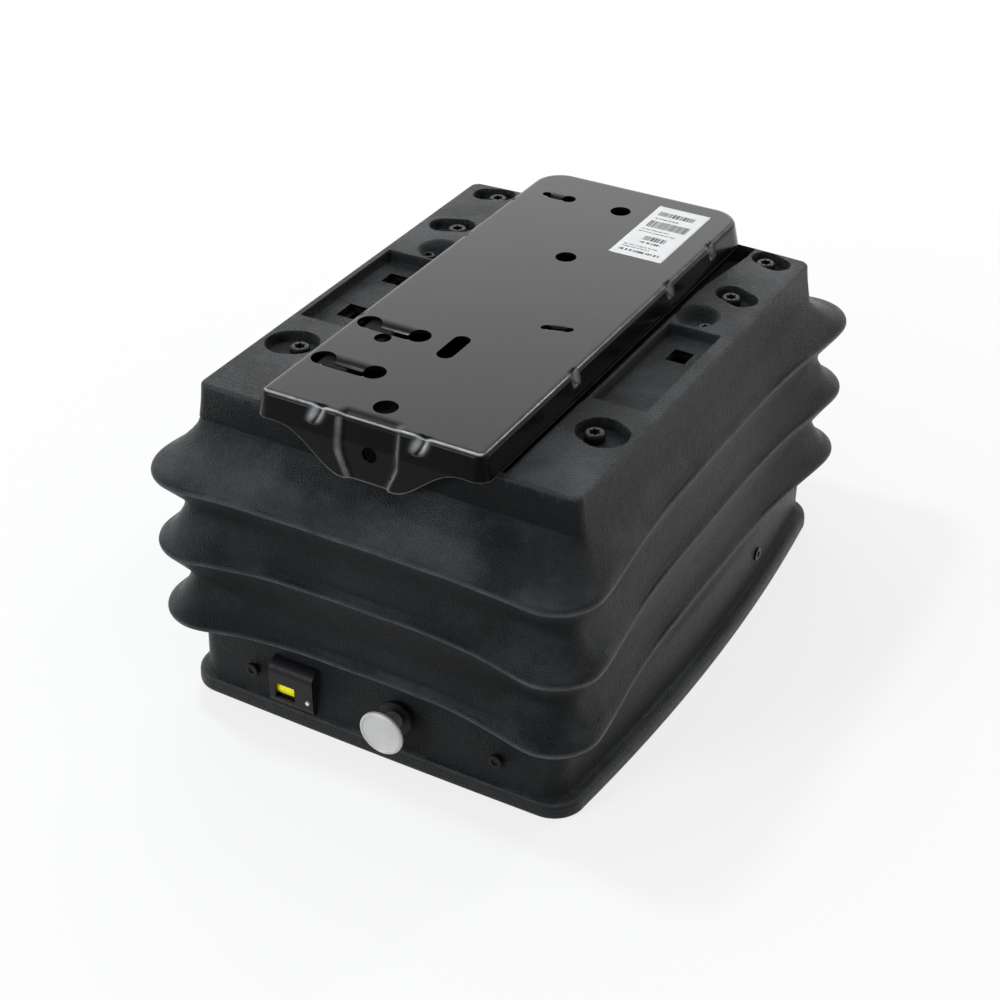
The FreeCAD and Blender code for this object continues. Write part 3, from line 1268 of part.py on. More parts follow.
def hose(name, points):
    """Round hose along a level route over the base plate."""
    body = new_body(name)
    level = "base_sheet + hose_lift + hose_radius"
    route = new_sketch(body, f"{name}_route", "XY_Plane", level)
    edges = open_path(route, points)
    section = new_sketch(body, f"{name}_section", "XZ_Plane", f"-({points[0][1]})")
    ring(section, points[0][0], level, "hose_radius")
    doc.recompute()
    feature = body.newObject("PartDesign::AdditivePipe", f"{name}_pipe")
    feature.Profile = section
    feature.Spine = (route, edges)


def hoses():
    """Air hoses: compressor to valve, and valve to air spring."""
    supply, feed = "knob_across + hose_spread", "knob_across - hose_spread"
    hose("supply_hose", [
        (supply, "fit_gap - valve_back"), (supply, "47 - valve_back"),
        ("spring_across + 41", "spring_along - 103"), ("spring_across + 51", "spring_along - 45"),
        ("spring_across + 49", "spring_along + 25"), ("spring_across + 33", "spring_along + 75"),
        ("motor_length * 0.25 + hose_outlet", "motor_along - motor_radius - 31"),
        ("motor_length * 0.25 + hose_outlet", "motor_along - motor_radius - fit_gap"),
    ])
    hose("spring_hose", [
        (feed, "fit_gap - valve_back"), (feed, "55 - valve_back"),
        ("spring_across", "spring_along - 85"),
        ("spring_across", "spring_along - piston_radius - fit_gap"),
    ])


def grommet():
    """Rubber grommet in the base plate where the compressor's cable leaves."""
    bore, neck = "grommet_radius - 3.5", "grommet_radius"
    turned("cable_grommet", [
        (bore, "0.5"), (neck, "0.5"), (neck, "base_sheet + running_gap"),
        (f"{neck} + 3", "base_sheet + running_gap"), (f"{neck} + 3", "base_sheet + 2.5", "1"),
        (bore, "base_sheet + 3"),
    ], "z", ("grommet_across", "grommet_along", "0"))


STEPS = (
    base_pan, rails, buffers, brackets, arms, shafts, bushes, centre_bolts, rollers, damper,
    air_spring, gaiter, upper_pan, deck_screws, carriers, seat_plate, label, adjuster, indicator,
    skirt_screws, compressor, hoses, grommet,
)

NODES = (
    "base_pan", "lower_rail_left", "lower_rail_right", "bump_buffers", "rebound_buffers",
    "lower_brackets",
    "lower_pivot_shaft", "air_spring_piston", "air_spring_sleeve", "air_spring_clamp",
    "control_valve", "valve_bracket", "adjuster_bushing", "indicator_housing", "indicator_pin",
    "indicator_axle", "skirt_screws", "compressor_motor", "compressor_head",
    "compressor_saddle", "supply_hose", "spring_hose", "cable_grommet", "gaiter",
    "outer_arm_left", "outer_arm_right", "outer_front_shaft", "lower_pivot_bushes",
    "centre_pivot_bolts", "damper_rear_pin", "upper_roller_clips",
    "inner_arm_left", "inner_arm_right", "inner_front_shaft", "upper_pivot_bushes",
    "centre_bushes", "roller_sleeves", "damper_front_pin", "lower_roller_clips",
    "upper_roller_left", "upper_roller_right", "lower_roller_left", "lower_roller_right",
    "damper_cylinder", "damper_rod", "upper_pan", "upper_rail_left", "upper_rail_right",
    "upper_brackets", "upper_pivot_shaft", "air_spring_cap",
    "plate_carriers", "seat_plate", "deck_screws", "rating_label",
    "adjuster_knob", "adjuster_stem", "indicator_drum",
)


def check_and_write():
    """Stop at any failed object, then write each sub-part to its own file."""
    for obj in doc.Objects:
        if any(word in obj.State for word in ("Invalid", "Error")):
            raise RuntimeError(f"{obj.Name} failed: {obj.State}")
    for name in NODES:
        piece = doc.getObject(name)
        if piece.Shape.isNull() or not piece.Shape.isValid():
            raise RuntimeError(f"{name} has no valid shape")
    os.makedirs("parts", exist_ok=True)
    for name in NODES:
        doc.getObject(name).Shape.exportStep(f"parts/{name}.step")


for step in STEPS:
    step()
doc.recompute()
check_and_write()
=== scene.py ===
import json
import math

import bmesh
import bpy
import numpy as np
from mathutils import Matrix, Vector


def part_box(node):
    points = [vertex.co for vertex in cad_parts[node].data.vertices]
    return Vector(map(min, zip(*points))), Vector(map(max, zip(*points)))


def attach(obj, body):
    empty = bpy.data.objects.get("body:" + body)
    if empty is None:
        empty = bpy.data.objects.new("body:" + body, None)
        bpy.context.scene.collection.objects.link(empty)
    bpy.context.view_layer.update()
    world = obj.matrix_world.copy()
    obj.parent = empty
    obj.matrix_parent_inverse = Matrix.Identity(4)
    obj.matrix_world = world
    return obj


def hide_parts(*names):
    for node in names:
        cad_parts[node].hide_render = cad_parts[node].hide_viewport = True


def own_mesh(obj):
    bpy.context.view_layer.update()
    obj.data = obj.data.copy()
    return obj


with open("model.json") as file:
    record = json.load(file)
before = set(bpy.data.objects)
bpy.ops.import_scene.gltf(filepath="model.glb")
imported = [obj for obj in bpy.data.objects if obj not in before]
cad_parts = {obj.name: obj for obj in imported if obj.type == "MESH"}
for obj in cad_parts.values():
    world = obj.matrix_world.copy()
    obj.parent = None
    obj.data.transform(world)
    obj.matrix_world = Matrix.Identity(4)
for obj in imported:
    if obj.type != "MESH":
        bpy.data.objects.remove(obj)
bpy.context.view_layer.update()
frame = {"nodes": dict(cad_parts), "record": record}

bl_info = {
    "name": "Seat suspension unit dressing",
    "version": (1, 0, 0),
    "blender": (4, 5, 0),
    "location": "View3D > Sidebar > Suspension",
    "description": "Rubber, coated steel, fasteners and stage round a packed seat suspension",
    "category": "Object",
}

SLOT_COLOURS = {entry["slot"]: tuple(entry["base_color"]) for entry in frame["record"]["materials"]}
MM = 0.001
# Top of the seat plate above the floor
PLATE_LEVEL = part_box("seat_plate")[1][2] / MM


def length_setting(label, text, value):
    """A length that a user may change."""
    return bpy.props.FloatProperty(
        name=label, description=text, default=value, min=0, unit="LENGTH", subtype="DISTANCE"
    )


def colour_setting(label, text, value):
    """A plain surface colour that a user may change."""
    return bpy.props.FloatVectorProperty(
        name=label, description=text, default=value, size=3, min=0, max=1, subtype="COLOR"
    )


def share_setting(label, text, value):
    """A share from nought to one that a user may change."""
    return bpy.props.FloatProperty(
        name=label, description=text, default=value, min=0, max=1, subtype="FACTOR"
    )


class BellowsSizes(bpy.types.PropertyGroup):
    """Sizes of the rubber bellows."""

    fold_top: length_setting("Fold top", "Foot of the upright band above the floor", 223.5 * MM)
    fold_foot: length_setting("Fold foot", "Top of the skirt above the floor", 56 * MM)
    travel: length_setting("Travel", "How far the deck comes down at the lower stop", 90 * MM)
    ripple: length_setting("Ripple", "Height of the soft waves in the draped faces", 0.9 * MM)


class DeckSizes(bpy.types.PropertyGroup):
    """Sizes of the rubber deck."""

    height: length_setting("Height", "Top of the deck above the floor", 250 * MM)
    half_width: length_setting("Half width", "Deck from the middle to its side", 150 * MM)
    half_length: length_setting("Half length", "Deck from the middle to its front", 190.75 * MM)
    edge: length_setting("Edge", "Rounding of the deck's upper edge", 3 * MM)
    recess: length_setting("Recess", "Depth of pockets and trays", 8 * MM)


class PlateSizes(bpy.types.PropertyGroup):
    """Sizes of the pressed seat plate."""

    half_width: length_setting("Half width", "Plate's top from the middle to its side", 87.5 * MM)
    front: length_setting("Front", "Front bend before the middle", 203 * MM)
    rear: length_setting("Rear", "Rear edge behind the middle", 205 * MM)
    foot: length_setting("Foot", "Lower edge of the aprons above the floor", 250.4 * MM)
    sheet: length_setting("Sheet", "Thickness of the sheet", 3 * MM)
    bend: length_setting("Bend", "Outer radius of the bends", 4.5 * MM)
    tongue: length_setting("Tongue", "Front tongue below the aprons' foot", 27.5 * MM)
    rear_skirt: length_setting("Rear skirt", "Rear apron below the others' foot", 10 * MM)
    tongue_hole: length_setting("Tongue hole", "Hole in the tongue across", 11.5 * MM)
    tongue_hole_at: length_setting("Hole height", "Tongue's hole above the floor", 244 * MM)


class CoatSettings(bpy.types.PropertyGroup):
    """Colours and gloss of the main finishes."""

    rubber: colour_setting("Rubber", "Black rubber of bellows and deck", (0.0075, 0.0082, 0.0088))
    coat: colour_setting("Dip coat", "Black dip coat of the seat plate", (0.003, 0.003, 0.003))
    knob: colour_setting("Knob", "Pale plastic of the adjuster", SLOT_COLOURS["knob_plastic"])
    gloss: share_setting("Coat roughness", "Roughness of the dip coat", 0.13)
    grain: length_setting("Grain", "Size of the rubber's moulded grain", 1.3 * MM)


class StageSettings(bpy.types.PropertyGroup):
    """Camera and studio."""

    focal: bpy.props.FloatProperty(
        name="Lens", description="Focal length on a 36 mm sensor", default=71.3, unit="CAMERA"
    )
    turn: bpy.props.FloatProperty(
        name="Turn", description="Camera turned about the upright", default=math.radians(29.804),
        subtype="ANGLE",
    )
    tilt: bpy.props.FloatProperty(
        name="Tilt", description="Camera tilted down", default=math.radians(33.646), subtype="ANGLE"
    )
    roll: bpy.props.FloatProperty(
        name="Roll", description="Camera rolled", default=-0.00246, subtype="ANGLE"
    )
    place: bpy.props.FloatVectorProperty(
        name="Place", description="Where the camera stands", default=(0.6233, -1.1178, 0.9428),
        subtype="XYZ", unit="LENGTH",
    )
    floor: colour_setting("Floor", "Pale studio floor", (0.86, 0.86, 0.86))


# Surfaces


def ease(value, start, end):
    """Smooth step: nought before start, one after end, and three t squared less two t cubed."""
    share = np.clip((value - start) / (end - start), 0, 1)
    return share * share * (3 - 2 * share)


def grid_faces(rows, columns, wrap_rows=False, wrap_columns=False):
    """Corner numbers of the quads between neighbouring points of a grid."""
    number = np.arange(rows * columns).reshape(rows, columns)
    up = np.roll(number, -1, 0)
    faces = np.stack([number, np.roll(number, -1, 1), np.roll(up, -1, 1), up], -1)
    if not wrap_rows:
        faces = faces[:-1]
    if not wrap_columns:
        faces = faces[:, :-1]
    return faces.reshape(-1, 4)


def facing_out(points, faces):
    """The faces turned round where the volume that they enclose comes out below nought."""
    corners = points[faces[:, :3]] - points.mean(0)
    volume = np.einsum("ij,ij->i", corners[:, 0], np.cross(corners[:, 1], corners[:, 2])).sum()
    return faces if volume > 0 else faces[:, ::-1]


def add_piece(name, parts, body, slot, stands_for, crease=35, painted_highlight=None):
    """One object from several (points, faces) parts in metres, riding on a body, in the finish of
    its slot. Rub tells the finish how worn each point is."""
    points = np.concatenate([part[0] for part in parts])
    starts = np.cumsum([0] + [len(part[0]) for part in parts[:-1]])
    faces = [face for start, part in zip(starts, parts) for face in (part[1] + start).tolist()]
    mesh = bpy.data.meshes.new(name)
    mesh.from_pydata(points.tolist(), [], faces)
    mesh.polygons.foreach_set("use_smooth", np.ones(len(mesh.polygons), bool))
    mesh.set_sharp_from_angle(angle=math.radians(crease))
    if painted_highlight is not None:
        painted_highlighting = mesh.attributes.new("painted_highlight", "FLOAT", "POINT")
        painted_highlighting.data.foreach_set("value", np.clip(painted_highlight, 0, 1).astype(np.float32))
    mesh.update()
    made = bpy.data.objects.new(name, mesh)
    bpy.context.scene.collection.objects.link(made)
    mesh.materials.append(slot_finish(slot))
    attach(made, body)
    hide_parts(*stands_for)
    return made


def weld(made):
    """Join points that lie on each other."""
    work = bmesh.new()
    work.from_mesh(made.data)
    bmesh.ops.remove_doubles(work, verts=work.verts, dist=0.02 * MM)
    work.to_mesh(made.data)
    work.free()


def away_from_axis(points, faces):
    """The faces of a strip round the upright axis, turned round where they look towards it: the sum
    of each normal times its face's place across and along comes out below nought."""
    corners = points[faces]
    normals = np.cross(corners[:, 1] - corners[:, 0], corners[:, 3] - corners[:, 0])
    away = (normals[:, :2] * corners[:, 0, :2]).sum()
    return faces[:, ::-1] if away < 0 else faces


def outline_of(rows, count):
    """Numbers of a grid's outermost points, once round."""
    number = np.arange(rows * count).reshape(rows, count)
    return np.concatenate([number[0, :-1], number[:-1, -1], number[-1, :0:-1], number[:0:-1, 0]])


def round_corners(across, along, half, reach, corner):
    """A grid of a rectangle about its middle, its corners pulled onto arcs: beyond the middle of a
    corner's arc a point keeps the larger of its two distances as its whole distance. Returns the
    new places and how far each point lies beyond, across and along."""
    over_x = np.maximum(np.abs(across) - (half - corner), 0)
    over_y = np.maximum(np.abs(along) - (reach - corner), 0)
    square, whole = np.maximum(over_x, over_y), np.hypot(over_x, over_y)
    pull = np.where(whole > 0, square / np.maximum(whole, 1e-9), 1)
    placed_x = np.sign(across) * (np.minimum(np.abs(across), half - corner) + over_x * pull)
    placed_y = np.sign(along) * (np.minimum(np.abs(along), reach - corner) + over_y * pull)
    return placed_x, placed_y, over_x, over_y


def soft_path(keys, shares, bend_steps=6, run_steps=3):
    """A run of keys with rounded corners: each inner key becomes a parabola between two points
    that lie on its runs, a share of half a run away from it."""
    keys = np.array(keys, float)
    path = [keys[:1]]
    last = keys[0]
    bend = np.linspace(0, 1, bend_steps)[:, None]
    run = np.linspace(0, 1, run_steps + 1)[1:-1, None]
    for before, here, after, share in zip(keys, keys[1:], keys[2:], shares):
        enter = here + (before - here) * share / 2
        leave = here + (after - here) * share / 2
        path.append(last + (enter - last) * run)
        path.append((1 - bend) ** 2 * enter + 2 * bend * (1 - bend) * here + bend ** 2 * leave)
        last = leave
    path.append(last + (keys[-1] - last) * run)
    path.append(keys[-1:])
    return np.concatenate(path)


def contour(half, along, corner, waist, waist_along, bulge, bulge_along, side=68, bend=14):
    """Rounded rectangle, one row per level. Its sides are drawn in by a waist that is flat in the
    middle, one less s to the fourth, squared, and swell by a bulge of one less s squared.
    Returns across, along and how near each point is to a corner."""
    values = (half, along, corner, waist, waist_along, bulge, bulge_along)
    half, along, corner, waist, waist_along, bulge, bulge_along = (
        np.asarray(value, float).reshape(-1, 1) for value in values
    )
    turn = np.linspace(0, math.pi / 2, bend)[None]
    run = np.linspace(-1, 1, side + 2)[None, 1:-1]
    draw, swell = (1 - run ** 4) ** 2, 1 - run ** 2
    flat_across, flat_along = half - corner, along - corner
    reach = half - waist * draw + bulge * swell
    depth = along - waist_along * draw + bulge_along * swell
    rise, fall = corner * np.sin(turn), corner * np.cos(turn)
    across = [reach, flat_across + fall, -run * flat_across, -flat_across - rise,
              -reach, -flat_across - fall, run * flat_across, flat_across + rise]
    length = [run * flat_along, flat_along + rise, depth, flat_along + fall,
              -run * flat_along, -flat_along - rise, -depth, -flat_along - fall]
    near = np.concatenate([run[0] ** 6, np.ones(bend)] * 4)
    return np.concatenate(across, 1), np.concatenate(length, 1), near[None]


def moulded_ring(keys, shares, ripple=0.0):
    """A profile of levels carried round a contour, in metres, and how near each column is to a
    corner. Its slopes wave by the ripple times a product of two sines and half of a third."""
    rows = soft_path(keys, shares)
    level, half, along, corner, waist, waist_along, bulge, bulge_along, droop = rows.T
    across, length, near = contour(half, along, corner, waist, waist_along, bulge, bulge_along)
    height = level[:, None] - droop[:, None] * near
    spread, climb = np.abs(np.gradient(half)), np.abs(np.gradient(level))
    slope = spread / (spread + climb + 1e-6)
    wave = (np.sin(across * 0.045 + 0.6) * np.sin(length * 0.031 + 1.1) + 0.5
            * np.sin(across * 0.11 + length * 0.07 + level[:, None] * 0.05))
    height = height + ripple / MM * wave * slope[:, None]
    return np.stack([across, length, height], -1) * MM, near


def screw_head(radius, swing, level, at, lobes=6, sides=48):
    """Rings of given radius and level about an upright axis, in metres. A ring's radius swings by a
    cosine of its lobes times the angle. The first and last rings close in a point."""
    turn = np.linspace(0, 2 * math.pi, sides, endpoint=False)[None]
    radius, swing, level = (np.asarray(value, float)[:, None] for value in (radius, swing, level))
    radius = radius + swing * np.cos(lobes * turn)
    points = np.stack([radius * np.cos(turn), radius * np.sin(turn),
                       np.broadcast_to(level, radius.shape)], -1)
    points = points.reshape(-1, 3) * MM + np.array(at) * MM
    return points, facing_out(points, grid_faces(len(radius), sides, wrap_columns=True))


# Finishes


class Finish:
    """A material in the making: its nodes are added one by one."""

    def __init__(self, name):
        self.material = bpy.data.materials.new(name)
        self.material.use_nodes = True
        self.tree = self.material.node_tree
        self.shader = self.tree.nodes["Principled BSDF"]
        self.place = self.node("ShaderNodeTexCoord").outputs["Object"]

    def node(self, kind, **values):
        made = self.tree.nodes.new(kind)
        for key, value in values.items():
            setattr(made, key, value)
        return made

    def link(self, source, target):
        self.tree.links.new(source, target)

    def noise(self, scale, detail=3.0, rough=0.5, source=None):
        """A soft noise with so many waves to the metre."""
        made = self.node("ShaderNodeTexNoise")
        self.link(source or self.place, made.inputs["Vector"])
        made.inputs["Scale"].default_value = scale
        made.inputs["Detail"].default_value = detail
        made.inputs["Roughness"].default_value = rough
        return made.outputs["Fac"]

    def cells(self, scale):
        """How far each place lies from the middle of its cell, with so many cells to the metre."""
        made = self.node("ShaderNodeTexVoronoi", feature="F1")
        self.link(self.place, made.inputs["Vector"])
        made.inputs["Scale"].default_value = scale
        return made.outputs["Distance"]

    def stretched(self, scale):
        """The object's places, scaled apart along each axis."""
        made = self.node("ShaderNodeMapping")
        self.link(self.place, made.inputs["Vector"])
        made.inputs["Scale"].default_value = scale
        return made.outputs["Vector"]

    def spread(self, source, low, high, start=0.3, end=0.7):
        """What runs from start to end, spread from low to high and held there."""
        made = self.node("ShaderNodeMapRange")
        self.link(source, made.inputs["Value"])
        values = {"From Min": start, "From Max": end, "To Min": low, "To Max": high}
        for key, value in values.items():
            made.inputs[key].default_value = value
        return made.outputs["Result"]

    def math(self, operation, *values):
        """The outcome of one operation on sockets and plain numbers."""
        made = self.node("ShaderNodeMath", operation=operation)
        for socket, value in zip(made.inputs, values):
            if isinstance(value, (int, float)):
                socket.default_value = value
            else:
                self.link(value, socket)
        return made.outputs["Value"]

    def split(self, source):
        """A vector's three parts."""
        made = self.node("ShaderNodeSeparateXYZ")
        self.link(source, made.inputs["Vector"])
        return made.outputs

    def blend(self, share, first, second):
        """A colour between two, each a plain one or a socket."""
        made = self.node("ShaderNodeMix", data_type="RGBA")
        self.link(share, made.inputs["Factor"])
        colours = [item for item in made.inputs if item.type == "RGBA"]
        for socket, value in zip(colours, (first, second)):
            if isinstance(value, tuple):
                socket.default_value = (*value, 1)
            else:
                self.link(value, socket)
        return next(item for item in made.outputs if item.type == "RGBA")

    def clouded(self, source, colour, dark, light):
        """The colour between a darker and a lighter shade of it, as a noise says."""
        return self.blend(self.spread(source, 0, 1), shade(colour, dark), shade(colour, light))

    def painted_highlighting(self, colour, highlight_colour):
        """The colour, turned towards the rubbed one where the piece is worn, in broken patches."""
        painted_highlighting = self.node("ShaderNodeAttribute", attribute_name="painted_highlight").outputs["Fac"]
        patchy = self.math("MULTIPLY", painted_highlighting, self.spread(self.noise(90, 3), 0.45, 1.0))
        return self.blend(patchy, colour, highlight_colour)

    def bump(self, height, strength, distance, below=None):
        """A normal raised by a height, on top of another one where it is given."""
        made = self.node("ShaderNodeBump")
        made.inputs["Strength"].default_value = strength
        made.inputs["Distance"].default_value = distance
        self.link(height, made.inputs["Height"])
        if below:
            self.link(below, made.inputs["Normal"])
        return made.outputs["Normal"]

    def give(self, **values):
        """Sockets or plain values for the shader's inputs of these names."""
        for key, value in values.items():
            target = self.shader.inputs[key.replace("_", " ").title()]
            if isinstance(value, bpy.types.NodeSocket):
                self.link(value, target)
            else:
                target.default_value = value


# Black finishes mirror little where they face the eye and more at a slant
BLACK_TINT = (0.12, 0.12, 0.12, 1)
COAT_TINT = (0.05, 0.05, 0.05, 1)
# Painted sheen on the rubber's upward faces: a pale bluish colour in place of a reflection
PAINTED_SHEEN_COLOUR = (0.052, 0.057, 0.061)
# Painted highlights along edges, bends, ridges and darts: a lighter colour in place of a reflection
PAINTED_HIGHLIGHT_RUBBER = (0.085, 0.092, 0.098)
PAINTED_HIGHLIGHT_COAT = (0.55, 0.55, 0.55)
# Rubber: roughness and height of its grain; plastic: size and height of its grain
RUBBER_ROUGHNESS, RUBBER_RELIEF = 0.37, 0.0009
PLASTIC_GRAIN, PLASTIC_RELIEF = 0.0007, 0.00005
# Mould parting line across the bellows' front: how far from the middle, and its half width
PARTING_AT, PARTING_HALF = 0.004, 0.0008


def shade(colour, factor):
    """A colour made lighter or darker."""
    return tuple(min(1.0, channel * factor) for channel in colour[:3])


def grained_rubber(name, colour, grain):
    """Moulded rubber: leather-like cells of the grain's size, soft clouds of colour, a fine
    unevenness of sheen, a thin bloom on what faces up, and a parting line down the front and the
    rear."""
    made = Finish(name)
    cloudy = made.clouded(made.noise(14, 3, 0.6), colour, 0.85, 1.3)
    # painted sheen: pale bluish patches in the colour on faces that look up, where the lamps'
    # reflection falls
    upward = made.split(made.node("ShaderNodeNewGeometry").outputs["Normal"])["Z"]
    sheen_patches = made.spread(made.noise(16, 4, 0.6), 0.1, 1, 0.42, 0.66)
    painted_sheen = made.math("MULTIPLY", made.spread(upward, 0, 0.9, 0.15, 0.95), sheen_patches)
    leather = made.bump(made.cells(1 / grain), 0.9, RUBBER_RELIEF)
    fine = made.bump(made.noise(1.6 / grain, 4, 0.7), 0.9, RUBBER_RELIEF, leather)
    soft = made.bump(made.noise(26, 2, 0.5), 0.3, 0.0011, fine)
    line = made.math("COMPARE", made.split(made.place)["X"], PARTING_AT, PARTING_HALF)
    made.give(
        base_color=made.painted_highlighting(made.blend(painted_sheen, cloudy, PAINTED_SHEEN_COLOUR), PAINTED_HIGHLIGHT_RUBBER),
        roughness=made.spread(
            made.noise(160, 4, 0.6), RUBBER_ROUGHNESS - 0.05, RUBBER_ROUGHNESS + 0.06),
        normal=made.bump(line, 0.7, 0.0004, soft),
        specular_tint=BLACK_TINT,
    )
    return made.material


def moulded(name, colour, rough, tint=(1, 1, 1, 1)):
    """Moulded plastic: fine even grain, faint flow clouds and a slightly uneven sheen."""
    made = Finish(name)
    made.give(
        base_color=made.clouded(made.noise(30, 3, 0.6), colour, 0.88, 1.12),
        roughness=made.spread(made.noise(220, 3), rough - 0.05, rough + 0.07),
        normal=made.bump(made.noise(1 / PLASTIC_GRAIN, 3, 0.6), 0.4, PLASTIC_RELIEF),
        specular_tint=tint,
    )
    return made.material


def coated_sheet(name, colour, rough):
    """Dip-coated pressed sheet: glossy skin with orange peel, rub marks and handling smears."""
    made = Finish(name)
    smears = made.noise(9, 4, 0.65)
    scuffs = made.noise(60, 5, 0.75, made.stretched((1.0, 6.0, 1.0)))
    peel = made.bump(made.noise(420, 2, 0.5), 0.10, 0.00006)
    made.give(
        base_color=made.painted_highlighting(made.clouded(smears, colour, 0.85, 1.25), PAINTED_HIGHLIGHT_COAT),
        roughness=made.math("ADD", made.spread(smears, rough - 0.03, rough + 0.09),
                            made.spread(scuffs, 0.0, 0.12, 0.54, 0.70)),
        normal=made.bump(made.noise(38, 2, 0.5), 0.10, 0.0005, peel),
        specular_tint=COAT_TINT,
    )
    return made.material


def bare_metal(name, colour, rough, brush=(1.0, 1.0, 30.0)):
    """Plated or sintered metal: fine drawn lines, blotches of the plating and a dull bloom."""
    made = Finish(name)
    bloom = made.noise(45, 4, 0.6)
    made.give(
        base_color=made.clouded(bloom, colour, 0.8, 1.1),
        roughness=made.spread(bloom, rough - 0.06, rough + 0.1),
        normal=made.bump(made.noise(900, 3, 0.6, made.stretched(brush)), 0.3, 0.00003),
        metallic=1.0,
    )
    return made.material


# The label's rows of bars, in shares of its height and width: lower and upper edge, left and
# right end; and waves of the noise that makes the bars
LABEL_ROWS = (
    (0.08, 0.115, 0.10, 0.86, 26), (0.15, 0.165, 0.10, 0.62, 34), (0.19, 0.205, 0.10, 0.74, 30),
    (0.27, 0.30, 0.30, 0.70, 22), (0.33, 0.41, 0.30, 0.72, 60), (0.47, 0.485, 0.10, 0.80, 36),
    (0.52, 0.535, 0.10, 0.66, 32), (0.58, 0.71, 0.12, 0.88, 70), (0.75, 0.77, 0.12, 0.60, 30),
    (0.82, 0.90, 0.12, 0.80, 44),
)
INK = (0.05, 0.05, 0.05)


def printed_card(name):
    """White label with rows of plain upright bars on its own map. A row's bars are a noise along
    the label, cut to black and white, within the row's edges."""
    made = Finish(name)
    made.place = made.node("ShaderNodeUVMap", uv_map="print").outputs["UV"]
    across = made.split(made.place)
    wide, tall = across["X"], across["Y"]
    paper = made.spread(made.noise(5, 3), 0, 1)
    paper = made.blend(paper, (0.70, 0.70, 0.69), (0.76, 0.76, 0.75))

    def between(source, low, high):
        above = made.math("GREATER_THAN", source, low)
        return made.math("MULTIPLY", above, made.math("LESS_THAN", source, high))

    marks = None
    for low, high, left, right, pitch in LABEL_ROWS:
        bars = made.node("ShaderNodeTexNoise", noise_dimensions="1D")
        made.link(made.math("MULTIPLY_ADD", wide, pitch, low * 90), bars.inputs["W"])
        bars.inputs["Scale"].default_value, bars.inputs["Detail"].default_value = 1, 0
        row = made.math("MULTIPLY", between(tall, low, high), between(wide, left, right))
        row = made.math("MULTIPLY", row, made.spread(bars.outputs["Fac"], 0, 1, 0.42, 0.46))
        marks = row if marks is None else made.math("MAXIMUM", marks, row)
    made.give(
        base_color=made.blend(marks, paper, INK),
        roughness=made.spread(made.noise(12, 3), 0.6, 0.75),
        normal=made.bump(made.noise(18, 3), 0.15, 0.0003),
    )
    return made.material


def slot_finish(slot):
    """The procedural finish that pieces of a slot in the record take, made once."""
    name = "finish_" + slot
    if name in bpy.data.materials:
        return bpy.data.materials[name]
    settings = bpy.context.scene.coat_settings
    colour = SLOT_COLOURS[slot]
    makers = {
        "rubber": lambda: grained_rubber(name, tuple(settings.rubber), settings.grain),
        "hose_rubber": lambda: moulded(name, colour, 0.45, tint=BLACK_TINT),
        "black_plastic": lambda: moulded(name, (0.009, 0.009, 0.01), 0.38, tint=BLACK_TINT),
        "plate_steel": lambda: coated_sheet(name, tuple(settings.coat), settings.gloss),
        "pan_steel": lambda: moulded(name, (0.005, 0.005, 0.005), 0.7, tint=BLACK_TINT),
        "rail_steel": lambda: moulded(name, (0.004, 0.004, 0.004), 0.75, tint=BLACK_TINT),
        "motor_steel": lambda: coated_sheet(name, colour, 0.3),
        "screw_steel": lambda: coated_sheet(name, (0.006, 0.006, 0.006), 0.32),
        "zinc_steel": lambda: bare_metal(name, colour, 0.3),
        "bronze": lambda: bare_metal(name, colour, 0.42),
        "cast_alloy": lambda: bare_metal(name, colour, 0.5, (1.0, 1.0, 1.0)),
        "knob_plastic": lambda: moulded(name, tuple(settings.knob), 0.4),
        "signal_yellow": lambda: moulded(name, colour, 0.22),
        "paper": lambda: printed_card(name),
    }
    return makers.get(slot, lambda: moulded(name, colour, 0.42))()


class SUSPENSION_OT_finishes(bpy.types.Operator):
    """Give every packed piece the finish of its slot"""

    bl_idname = "suspension.finishes"
    bl_label = "Finishes"

    def execute(self, context):
        slots = {part["node"]: part["material_slot"] for part in frame["record"]["subparts"]}
        for node, packed in frame["nodes"].items():
            packed.data.materials.clear()
            packed.data.materials.append(slot_finish(slots[node]))
        return {"FINISHED"}


# Bellows

# Profiles: level, half width, half length, corner, waists, bulges, droop; share of each bend
SKIRT_KEYS = [
    (61, 157.5, 211, 16, 2, 4, 5, 1, 0), (56, 154.6, 208.6, 14, 0, 0, 8, 1, 0),
    (40, 153.9, 211.6, 16, 0, 0, 10, 1, 0), (19, 152.8, 216, 19, 0, 0, 10.5, 1, 0),
    (14.2, 154.2, 217, 20, 0, 0, 10.5, 1, 0), (13.6, 158.6, 218.6, 22, 0, 0, 10.5, 1, 0),
    (11.5, 162.2, 219.9, 24, 0, 0, 10.5, 1, 0), (1.4, 162.6, 220.2, 24, 0, 0, 10.5, 1, 0),
    (0, 160.6, 218.6, 23, 0, 0, 10.5, 1, 0), (0, 157, 215, 22, 0, 0, 1, 0, 0),
    (3.5, 156.8, 214.8, 22, 0, 0, 0, 0, 0), (4, 148.5, 207.2, 18, 0, 0, 0, 0, 0),
    (44, 148.2, 207, 18, 0, 0, 0, 0, 0), (58, 152, 208, 14, 0, 0, 3, 0, 0),
    (61, 157.5, 211, 16, 2, 4, 5, 1, 0),
]
SKIRT_SHARES = [0.5, 0.9, 0.9, 0.6, 0.6, 0.8, 0.7, 0.8, 0.3, 0.3, 0.3, 0.5, 0.4]
